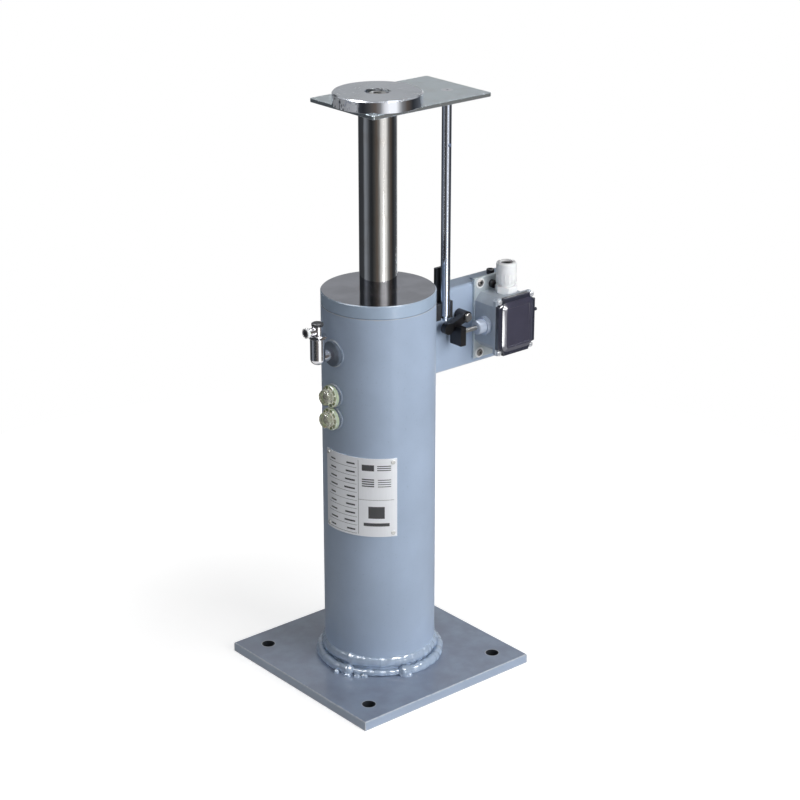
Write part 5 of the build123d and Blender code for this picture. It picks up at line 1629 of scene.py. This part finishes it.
@dataclass
class Nameplate(SubAssembly):
    """The plate on the tube, with its rivets and a plain ruled form printed on it, in millimetres.

    Attributes:
        ink_rise: How far the ink stands proud, in metres.
        margin: How far the form stays from the plate's edges.
        divider_share: Where the line between the two halves stands, as a share of the plate's width.
        row_count: How many rows the left half has.
        line: How thick the ruled lines are.
        rule: How far a row's line stays from the margin and from the divider.
        caption: A row's left bar, measured from the margin and up from the row's line.
        entry: A row's right bar, measured back from the divider and up from the row's line.
        stray: What a row's number is multiplied by, and what the result is cut to, to lengthen its bars.
        shelf_share: How high the line between the two right cells stands, as a share of the form.
        upper: The bars of the upper right cell.
        lower: The bars of the lower right cell, with the line above it.
        segment: The longest step that a bar is rolled in.
    """

    dressing = {"nameplate": (LABEL, Form.BLOCK), "nameplate_rivets": (STEEL, Form.BLOCK)}
    ink_rise: float = 0.05 * MM
    margin: float = 2.2
    divider_share: float = 0.52
    row_count: int = 9
    line: float = 0.35
    rule: Span = (3.0, 1.5)
    caption: Bar = Bar(6.0, 13.0, 2.6, 4.2)
    entry: Bar = Bar(13.0, 3.5, 3.2, 5.0)
    stray: tuple[int, int] = (7, 4)
    shelf_share: float = 0.47
    upper: tuple[Rows, ...] = (
        Rows((0.0, 4.0), (0.44, 0.0), drop=4.5, height=6.5),
        Rows((0.52, 0.0), (1.0, -4.0), drop=5.2, height=1.0, pitch=2.2, count=3),
        Rows((0.0, 4.0), (0.44, 0.0), drop=19.7, height=1.3, pitch=2.4, count=4),
        Rows((0.54, 0.0), (1.0, -4.0), drop=20.2, height=0.8, pitch=2.4, count=4),
    )
    lower: tuple[Rows, ...] = (
        Rows((0.0, 0.0), (1.0, -1.0), drop=-0.35, height=0.35),
        Rows((0.28, 0.0), (0.72, 0.0), drop=7.0, height=13.0),
        Rows((0.15, 0.0), (0.85, 0.0), drop=25.0, height=3.5),
    )
    segment: float = 1.5

    def build(self) -> None:
        """Prints the form and rolls it round the tube."""
        low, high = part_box("nameplate")
        corners = [vertex.co for vertex in self.frame["nodes"]["nameplate"].data.vertices]
        radius = max(math.hypot(point.x, point.y) for point in corners)
        angles = [math.atan2(point.y, point.x) % (2 * math.pi) for point in corners]
        first, last = min(angles), max(angles)
        width, height = (last - first) * radius / MM, (high.z - low.z) / MM
        mesh = self.ink_mesh(self.form(width, height), width, low.z)
        values = {
            "Radius": radius,
            "Middle angle": (first + last) / 2,
            "Material": INK.material("nameplate_print", (low, high)),
        }
        LOG.info("the nameplate measures %.1f by %.1f mm", width, height)
        self.publish(TubePrint().grow("nameplate_print", mesh, values), "cylinder", "label")

    def form(self, width: float, height: float) -> list[Bar]:
        """Lays out the form: ruled rows at the left, a divider, and two cells at the right.

        Args:
            width: The plate's width.
            height: The plate's height.

        Returns:
            The rectangles that are printed.
        """
        left, right = self.margin, width - self.margin
        bottom, top = self.margin, height - self.margin
        divider = width * self.divider_share
        bars = [Bar(divider, divider + self.line, bottom, top)]
        factor, limit = self.stray
        for row in range(self.row_count):
            base = bottom + (top - bottom) / self.row_count * row
            longer = (row * factor) % limit
            first, last = left + self.caption.left, left + self.caption.right + longer
            start, end = divider - self.entry.left - longer, divider - self.entry.right
            bars += [
                Bar(left + self.rule[0], divider - self.rule[1], base, base + self.line),
                Bar(first, last, base + self.caption.bottom, base + self.caption.top),
                Bar(start, end, base + self.entry.bottom, base + self.entry.top),
            ]
        shelf = bottom + (top - bottom) * self.shelf_share
        for cell, level in ((self.upper, top), (self.lower, shelf)):
            for rows in cell:
                bars += rows.bars(divider, right - divider, level)
        return bars

    def ink_mesh(self, bars: list[Bar], width: float, bottom: float) -> bpy.types.Mesh:
        """Makes a thin closed slab of each rectangle, in short steps so that it can be rolled.

        Args:
            bars: The rectangles.
            width: The plate's width.
            bottom: The height of the plate's lower edge in metres.

        Returns:
            The mesh, still flat.
        """
        vertices: list[Triple] = []
        faces: list[tuple[int, ...]] = []
        rise = self.ink_rise
        for bar in bars:
            section = ((0.0, bar.bottom), (0.0, bar.top), (rise, bar.top), (rise, bar.bottom))
            sides = len(section)
            steps = max(1, math.ceil((bar.right - bar.left) / self.segment))
            first = len(vertices)
            for step in range(steps + 1):
                x = (bar.left + (bar.right - bar.left) * step / steps - width / 2) * MM
                vertices += [(x, y, bottom + z * MM) for y, z in section]
            for step in range(steps):
                here = first + sides * step
                for side in range(sides):
                    other = (side + 1) % sides
                    faces.append((here + side, here + other, here + sides + other, here + sides + side))
            end = first + sides * steps
            faces.append(tuple(reversed(range(first, first + sides))))
            faces.append(tuple(range(end, end + sides)))
        mesh = bpy.data.meshes.new("nameplate form")
        mesh.from_pydata(vertices, [], faces)
        return mesh


@dataclass
class SwitchBracket(SubAssembly):
    """The bent bracket, the plate that adapts it to the switch, the rod guide and their screws.

    Attributes:
        welding: How the two beads at the tube are laid.
        weld_blob: How much thicker a bead is near its ends, as a share of its radius.
        weld_steps: How many steps the line of a bead has.
        screw_head: The radius of the adapter plate's screw heads.
        washer_inner: The radius of a washer's hole.
        washer_outer: The radius of a washer's rim.
        washer_thickness: How thick a washer is.
    """

    dressing = {
        "switch_bracket": (TUBE_PAINT, Form.BLOCK),
        "adapter_plate": (ZINC_SHEET, Form.BLOCK),
        "adapter_screws": (SPRING_STEEL, Form.BLOCK),
        "clamp_screws": (BLACK_STEEL, Form.BLOCK),
        "rod_guide": (BLACK_PLASTIC, Form.BLOCK),
        "rod_guide_screws": (BLACK_STEEL, Form.BLOCK),
    }
    welding: Welding = Welding(
        radius=3.4, ripple_pitch=3.4, ripple_depth=0.06, lump_size=9.0, lump_depth=0.4, wander=0.9,
        step=0.5, sides=16, seed=7.0
    )
    weld_blob: float = 0.25
    weld_steps: int = 40
    screw_head: float = 3.8 * MM
    washer_inner: float = 2.6 * MM
    washer_outer: float = 5.7 * MM
    washer_thickness: float = 0.9 * MM

    def build(self) -> None:
        """Lays the weld beads, and a washer at each corner of the adapter plate."""
        self.weld()
        self.washers()

    def weld(self) -> None:
        """Lays the beads down both sides of the joint with the tube."""
        low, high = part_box("bracket_welds")
        span = high.z - low.z
        heights = [low.z + span * step / self.weld_steps for step in range(self.weld_steps + 1)]
        tube = self.tube_radius
        paths = []
        for y in (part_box("adapter_plate")[1].y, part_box("lever_pivot_pin")[1].y):
            x = math.sqrt(tube**2 - y**2)
            paths.append(Path([Vector((x, y, height)) for height in heights], blob=self.weld_blob))
        material = SHADED_BEAD_PAINT.material("bracket_weld_beads", (low, high))
        beads = self.welding.lay("bracket_weld_beads", paths, material)
        self.publish(beads, "cylinder", "tube_paint", ("bracket_welds",))

    def washers(self) -> None:
        """Lays a washer round each screw of the adapter plate."""
        low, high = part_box("adapter_screws")
        head = self.screw_head
        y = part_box("adapter_plate")[0].y - self.washer_thickness / 2
        points = [(x, y, z) for x in (low.x + head, high.x - head) for z in (low.z + head, high.z - head)]
        mesh = bpy.data.meshes.new("washer places")
        mesh.from_pydata(points, [], [])
        values = {
            "Middle radius": (self.washer_inner + self.washer_outer) / 2,
            "Width": self.washer_outer - self.washer_inner,
            "Thickness": self.washer_thickness,
            "Material": LIT_WASHER_ZINC.material("adapter_washers", (low, high)),
        }
        self.publish(Washers().grow("adapter_washers", mesh, values), "cylinder", "zinc")


@dataclass
class LimitSwitch(SubAssembly):
    """The limit switch with its pin and its open cable gland.

    Attributes:
        rib_count: How many grip ribs the gland's nut has.
        rib_radius: Their radius.
        rib_share: Their length, as a share of the nut's.
        rib_margin: How far they stay from the nut's foot.
        rib_sunk: How far their middle lies inside the nut's outside.
        rib_flatness: How tall they are, as a share of their width.
        cover_depth: How far the cover's face stands out from its gasket.
        panel_inset: How far the panel's foot stays from the cover's sides.
        panel_corner: The radius of the corners of the panel's foot.
        panel_least_corner: The least radius of a corner higher up.
        panel_sunk: How far the panel goes down into the cover.
        panel_profile: How far in from its foot and how high each step of the panel is, in millimetres.
        corner_steps: How many steps a corner has.
        sharp_angle: The least turn of an edge of the panel that stays sharp, in radians.
    """

    dressing = {
        "switch_body": (DIE_CAST, Form.BLOCK),
        "cover_gasket": (RUBBER, Form.BLOCK),
        "switch_cover": (GLOSS_COVER, Form.BLOCK),
        "cover_screws": (ZINC, Form.BLOCK),
        "contact_block": (BLACK_PLASTIC, Form.BLOCK),
        "plunger_hub": (HUB_ZINC, Form.DRUM_X),
        "switch_pin": (STEEL, Form.DRUM_X),
        "gland_body": (GREY_PLASTIC, Form.DRUM_Z),
        "gland_nut": (GREY_PLASTIC, Form.DRUM_Z),
        "gland_seal": (RUBBER, Form.DRUM_Z),
    }
    rib_count: int = 18
    rib_radius: float = 0.7 * MM
    rib_share: float = 0.42
    rib_margin: float = 1.5 * MM
    rib_sunk: float = 0.2 * MM
    rib_flatness: float = 0.6
    cover_depth: float = 4.0 * MM
    panel_inset: float = 4.6 * MM
    panel_corner: float = 7.4 * MM
    panel_least_corner: float = 1.5 * MM
    panel_sunk: float = 0.3 * MM
    panel_profile: tuple[Span, ...] = ((0.0, 0.7), (4.0, 2.54), (4.5, 2.7), (6.0, 2.7), (6.4, 2.3))
    corner_steps: int = 8
    sharp_angle: float = math.radians(14)

    def build(self) -> None:
        """Raises the cover's panel and sets the ribs of the gland."""
        self.panel()
        self.ribs()

    def panel(self) -> None:
        """Makes the cover's panel, whose wide bevel runs all the way round."""
        low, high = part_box("cover_gasket")
        rim = low.y - self.cover_depth
        loops = [self.outline(low, high, 0.0, rim + self.panel_sunk)]
        loops += [self.outline(low, high, inset * MM, rim - rise * MM) for inset, rise in self.panel_profile]
        points = [point for loop in loops for point in loop]
        count = len(loops[0])
        faces = [tuple(reversed(range(count))), tuple(range(len(points) - count, len(points)))]
        for ring in range(len(loops) - 1):
            for number in range(count):
                other = (number + 1) % count
                here, above = ring * count, (ring + 1) * count
                faces.append((here + number, here + other, above + other, above + number))
        mesh = bpy.data.meshes.new("switch_cover_panel")
        mesh.from_pydata(points, [], faces)
        smoothed(mesh, self.sharp_angle)
        mesh.materials.append(PANEL_COVER.material("switch_cover_panel", corners_of(points)))
        self.publish(placed("switch_cover_panel", mesh), "cylinder", "black_plastic")

    def outline(self, low: Vector, high: Vector, inset: float, y: float) -> list[Triple]:
        """Draws the panel's outline, a rectangle with round corners, at some height of its profile.

        Args:
            low: The cover's lowest corner.
            high: The cover's highest corner.
            inset: How far in from the panel's foot the outline lies.
            y: The outline's place across the cover.

        Returns:
            The points, anticlockwise as seen from the front.
        """
        radius = max(self.panel_corner - inset, self.panel_least_corner)
        reach = self.panel_inset + inset + radius
        left, right = low.x + reach, high.x - reach
        lower, upper = low.z + reach, high.z - reach
        points = []
        for quarter, (x, z) in enumerate(((right, upper), (left, upper), (left, lower), (right, lower))):
            for step in range(self.corner_steps + 1):
                turn = math.radians(90 * (quarter + step / self.corner_steps))
                points.append((x + radius * math.cos(turn), y, z + radius * math.sin(turn)))
        return points

    def ribs(self) -> None:
        """Sets the grip ribs round the lower part of the gland's nut."""
        low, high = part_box("gland_nut")
        length = (high.z - low.z) * self.rib_share
        middle = (low + high) / 2
        values = {
            "Count": self.rib_count,
            "Ring radius": (high.y - low.y) / 2 - self.rib_sunk,
            "Rib radius": self.rib_radius,
            "Rib length": length,
            "Flatness": self.rib_flatness,
            "Centre": (middle.x, middle.y, low.z + self.rib_margin + length / 2),
            "Material": GREY_PLASTIC.material("gland_nut_ribs", (low, high), Form.DRUM_Z),
        }
        self.publish(RibRing().stand("gland_nut_ribs", values), "cylinder", "grey_plastic")


@dataclass
class TripLever(SubAssembly):
    """The lever that the rod works and the pin it turns on."""

    dressing = {
        "trip_lever": (BLACK_STEEL, Form.BLOCK),
        "lever_pivot_pin": (SPRING_STEEL, Form.DRUM_Y),
    }


@dataclass(frozen=True)
class Lamp:
    """A square soft lamp that faces the object.

    Attributes:
        name: The lamp's name.
        azimuth: Degrees to the camera's right.
        elevation: Degrees above level.
        distance: Metres from the point that the camera looks at.
        side: The length of its side in metres.
        watts: Its power.
    """

    name: str
    azimuth: float
    elevation: float
    distance: float
    side: float
    watts: float


@dataclass
class Studio:
    """The camera, the lamps, the floor and the surroundings that bright metal mirrors.

    Attributes:
        azimuth: The camera's bearing in degrees, from which other bearings are taken, to its right.
        elevation: How steeply the camera looks down, in degrees.
        distance: How far the camera stands off, in metres.
        aim: The point that the camera looks at, in metres.
        lens: The camera's focal length in millimetres.
        sight: How far the camera sees, in metres.
        lamps: The lamps.
        ambient: How bright the light from all round is.
        panels: The panels round the object, each with its bearing, its brightness and its tint.
        wall_bearing: Where the wall behind the object starts, in turns from the camera.
        wall_rise: Where that wall starts, as a share of straight up.
        ceiling_rise: Where the ceiling starts, in the same way.
        ceiling: The colour of the wall and the ceiling.
        zenith_rise: Where the middle of the ceiling starts.
        zenith: Its colour.
        cards: Round cards, each with its bearing, elevation and half width in degrees, and brightness.
        card_softness: How wide the soft edge of a card is, in degrees.
        floor_radius: The floor's radius in metres.
        floor_corners: How many corners its rim has.
        floor_colour: Its colour.
        floor_grain: How wide its faint clouds are, in millimetres.
        floor_mottle: How far they stray from its colour.
        floor_roughness: Its roughness.
        foot_shade_tone: How bright its painted shade under the foot of the object is, as a share of its
            colour.
        foot_shade_edge: How wide the change to that painted shade is, in millimetres.
        floor_fade: How far out it starts and ends to run out to white, in metres.
        floor_glow: How much it glows for the camera there.
        mirrored_reach: Where its glow in bright metal fades, in millimetres behind the tube's axis.
        mirrored_glow: How much it glows in bright metal, in front of that and behind it.
    """

    azimuth: float = -40.2
    elevation: float = 21.5
    distance: float = 2.15
    aim: Triple = (0.028, 0.0, 0.285)
    lens: float = 95.0
    sight: float = 50.0
    lamps: tuple[Lamp, ...] = (
        Lamp("key", 50.0, 18.0, 1.6, 1.1, 22.5),
        Lamp("fill", -85.0, 20.0, 2.0, 1.4, 0.675),
    )
    ambient: float = 0.27
    panels: tuple[tuple[float, float, Tint], ...] = (
        (-180, 0.80, Tint.PLAIN), (-168, 0.50, Tint.PLAIN), (-160, 0.13, Tint.COOL), (-145, 0.04, Tint.COOL),
        (-120, 0.045, Tint.COOL), (-96, 0.05, Tint.COOL), (-84, 0.24, Tint.COOL), (-76, 0.24, Tint.COOL),
        (-60, 0.12, Tint.COOL), (-48, 0.04, Tint.COOL), (-36, 0.025, Tint.COOL), (-20, 0.06, Tint.PLAIN),
        (-4, 0.10, Tint.WARM), (8, 0.22, Tint.PLAIN), (18, 0.70, Tint.PLAIN), (30, 1.0, Tint.PLAIN),
        (48, 1.0, Tint.PLAIN), (58, 0.45, Tint.PLAIN), (66, 0.20, Tint.PLAIN), (80, 0.08, Tint.WARM),
        (100, 0.03, Tint.COOL), (120, 0.07, Tint.COOL), (140, 0.12, Tint.COOL), (152, 0.50, Tint.PLAIN),
        (162, 1.0, Tint.PLAIN), (180, 0.80, Tint.PLAIN),
    )
    wall_bearing: Span = (0.40, 0.45)
    wall_rise: Span = (0.0, 0.12)
    ceiling_rise: Span = (0.38, 0.52)
    ceiling: Colour = (0.50, 0.51, 0.52)
    zenith_rise: Span = (0.5, 0.9)
    zenith: Colour = (0.42, 0.43, 0.45)
    cards: tuple[tuple[float, float, float, float], ...] = (
        (34.3, -20.4, 1.2, 10.0), (37.0, -6.0, 3.0, 10.0), (45.0, 7.0, 4.0, 10.0), (36.0, 56.0, 10.0, 20.0),
        (56.0, 56.0, 10.0, 20.0), (-72.0, 50.0, 14.0, 14.0),
    )
    card_softness: float = 3.5
    floor_radius: float = 0.8
    floor_corners: int = 96
    floor_colour: Colour = (0.52, 0.52, 0.52)
    floor_grain: float = 30.0
    floor_mottle: float = 0.015
    floor_roughness: float = 0.9
    foot_shade_tone: float = 0.06
    foot_shade_edge: float = 1.0
    floor_fade: Span = (0.20, 0.55)
    floor_glow: Span = (0.74, 1.0)
    mirrored_reach: Span = (-20.0, 120.0)
    mirrored_glow: Span = (0.60, 0.0)

    def toward(self, azimuth: float, elevation: float) -> Vector:
        """Gives a direction from the object.

        Args:
            azimuth: Degrees to the camera's right, as seen from above.
            elevation: Degrees above level.

        Returns:
            The unit vector.
        """
        turn, rise = math.radians(self.azimuth + azimuth), math.radians(elevation)
        return Vector((math.sin(turn) * math.cos(rise), -math.cos(turn) * math.cos(rise), math.sin(rise)))

    def stand_off(self, item: bpy.types.Object, outward: Vector, distance: float) -> None:
        """Puts a camera or a lamp at some distance from the aim and turns it to face the aim.

        Args:
            item: The camera or lamp.
            outward: The direction from the aim to it.
            distance: How far off it is, in metres.
        """
        item.location = Vector(self.aim) + outward * distance
        item.rotation_euler = (-outward).to_track_quat("-Z", "Y").to_euler()

    def camera(self) -> None:
        """Sets up the camera."""
        camera = placed("camera", bpy.data.cameras.new("camera"))
        self.stand_off(camera, self.toward(0.0, self.elevation), self.distance)
        camera.data.lens = self.lens
        camera.data.clip_end = self.sight
        bpy.context.scene.camera = camera

    def hang(self, lamp: Lamp) -> None:
        """Hangs a lamp.

        Args:
            lamp: The lamp.
        """
        light = bpy.data.lights.new(lamp.name, "AREA")
        light.size = lamp.side
        light.energy = lamp.watts
        item = placed(lamp.name, light)
        self.stand_off(item, self.toward(lamp.azimuth, lamp.elevation), lamp.distance)
        item.visible_glossy = False
        item.visible_camera = False

    def world(self) -> None:
        """Surrounds the object: white for the camera, soft light on it, and panels in bright metal."""
        world = bpy.data.worlds.new("studio")
        world.use_nodes = True
        bpy.context.scene.world = world
        graph = Graph(world.node_tree)
        background = world.node_tree.nodes["Background"]
        path = graph.add("ShaderNodeLightPath").outputs
        light = graph.blend(path["Is Glossy Ray"], (self.ambient,) * 3, self.surroundings(graph))
        direct = graph.math("MAXIMUM", path["Is Camera Ray"], path["Is Transmission Ray"])
        graph.feed(background.inputs["Color"], graph.blend(direct, light, (1.0, 1.0, 1.0)))

    def ring(self, graph: Graph, around: Socket) -> Socket:
        """Stands white, grey and black panels round the object.

        Args:
            graph: The world's tree.
            around: The bearing, as a share of a turn that starts behind the object.

        Returns:
            The colour of the panels.
        """
        ramp = graph.add("ShaderNodeValToRGB", {0: around})
        elements = ramp.color_ramp.elements
        while len(elements) < len(self.panels):
            elements.new(0.5)
        for element, (degrees, level, tint) in zip(elements, self.panels):
            element.position = (degrees + 180) / 360
            element.color = (*tinted(tint.value, level), 1.0)
        return ramp.outputs[0]

    def surroundings(self, graph: Graph) -> Socket:
        """Puts the panels, a wall behind the object, a pale ceiling and bright cards together.

        Args:
            graph: The world's tree.

        Returns:
            The colour of the surroundings.
        """
        direction = graph.add("ShaderNodeTexCoord").outputs["Generated"]
        x, y, z = graph.split(direction)
        turn = graph.math("ARCTAN2", x, graph.times(y, -1.0))
        behind = graph.math("SUBTRACT", turn, math.radians(self.azimuth - 180))
        around = graph.math("FRACT", graph.math("DIVIDE", behind, 2 * math.pi))
        height = graph.math("DIVIDE", z, graph.vector("LENGTH", direction))
        off_camera = graph.math("ABSOLUTE", graph.math("SUBTRACT", around, 0.5))
        rising = graph.ease(height, *self.wall_rise)
        wall = graph.times(graph.ease(off_camera, *self.wall_bearing), rising)
        above = graph.math("MAXIMUM", wall, graph.ease(height, *self.ceiling_rise))
        colour = graph.blend(above, self.ring(graph, around), self.ceiling)
        colour = graph.blend(graph.ease(height, *self.zenith_rise), colour, self.zenith)
        unit = graph.vector("NORMALIZE", direction)
        for azimuth, elevation, reach, level in self.cards:
            nearness = graph.vector("DOT_PRODUCT", unit, tuple(self.toward(azimuth, elevation)))
            inner, outer = math.cos(math.radians(reach)), math.cos(math.radians(reach + self.card_softness))
            colour = graph.blend(graph.ease(nearness, outer, inner), colour, (level,) * 3)
        return colour

    def floor(self) -> None:
        """Lays a pale floor that keeps the shadow near the object and runs out to white."""
        turns = [2 * math.pi * step / self.floor_corners for step in range(self.floor_corners)]
        radius = self.floor_radius
        rim = [(radius * math.cos(turn), radius * math.sin(turn), 0.0) for turn in turns]
        mesh = bpy.data.meshes.new("floor")
        mesh.from_pydata(rim, [], [tuple(range(self.floor_corners))])
        mesh.materials.append(self.floor_material())
        placed("floor", mesh)

    def floor_material(self) -> bpy.types.Material:
        """Makes the floor's material, with painted shade where the object stands on it.

        Returns:
            The material.
        """
        surface = Surface("pale floor")
        grain = surface.noise(surface.place, self.floor_grain, detail=3.0)
        darker = tinted(self.floor_colour, 1.0 - self.floor_mottle)
        lighter = tinted(self.floor_colour, 1.0 + self.floor_mottle)
        # Painted shade: the floor is darkened under the plate's foot, where it shows through the bores.
        x, y, _ = surface.split(surface.vector("ABSOLUTE", surface.place))
        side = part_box("base_plate")[1].x / MM
        outside = surface.ease(surface.math("MAXIMUM", x, y), side - self.foot_shade_edge, side)
        foot_shade = tinted(self.floor_colour, self.foot_shade_tone)
        colour = surface.blend(outside, foot_shade, surface.blend(grain, darker, lighter))
        surface.set(Base_Color=colour, Roughness=self.floor_roughness, Specular_IOR_Level=0.0)
        glow = surface.times(self.glow(surface), outside)
        white = surface.add("ShaderNodeEmission", {"Color": (1.0, 1.0, 1.0), "Strength": glow})
        mixed = surface.add("ShaderNodeAddShader", {0: surface.shader.outputs[0], 1: white.outputs[0]})
        surface.feed(surface.tree.nodes["Material Output"].inputs["Surface"], mixed.outputs[0])
        return surface.material

    def glow(self, surface: Surface) -> Socket:
        """Says how much the floor glows: outwards for the camera, and in front of the object in bright metal.

        Args:
            surface: The floor's material.

        Returns:
            The strength of the glow.
        """
        path = surface.add("ShaderNodeLightPath").outputs
        behind = surface.vector("DOT_PRODUCT", surface.place, tuple(-self.toward(0.0, 0.0)))
        level = surface.scaled(surface.ease(behind, *self.mirrored_reach), *self.mirrored_glow)
        mirrored = surface.times(path["Is Glossy Ray"], level)
        direct = surface.math("MAXIMUM", path["Is Camera Ray"], path["Is Transmission Ray"])
        seen = surface.math("MAXIMUM", direct, mirrored)
        start, end = (radius / MM for radius in self.floor_fade)
        outward = surface.ease(surface.vector("LENGTH", surface.place), start, end)
        return surface.times(surface.scaled(outward, *self.floor_glow), seen)

    def build(self) -> None:
        """Sets up the whole studio."""
        bpy.context.scene.view_settings.view_transform = "Standard"
        self.camera()
        for lamp in self.lamps:
            self.hang(lamp)
        self.world()
        self.floor()
        LOG.info("set up the camera, %d lamps and the floor", len(self.lamps))


def main() -> None:
    """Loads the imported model, dresses it and adds what is made here."""
    logging.basicConfig(level=logging.INFO, format="%(name)s: %(message)s")
    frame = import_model()
    kinds = (
        BasePlate, Cylinder, Plunger, TubeBosses, Filler, SightGlasses, Nameplate, SwitchBracket,
        LimitSwitch, TripLever,
    )
    for kind in kinds:
        part = kind(frame)
        part.dress()
        part.build()
    Studio().build()


if __name__ == "__main__":
    main()
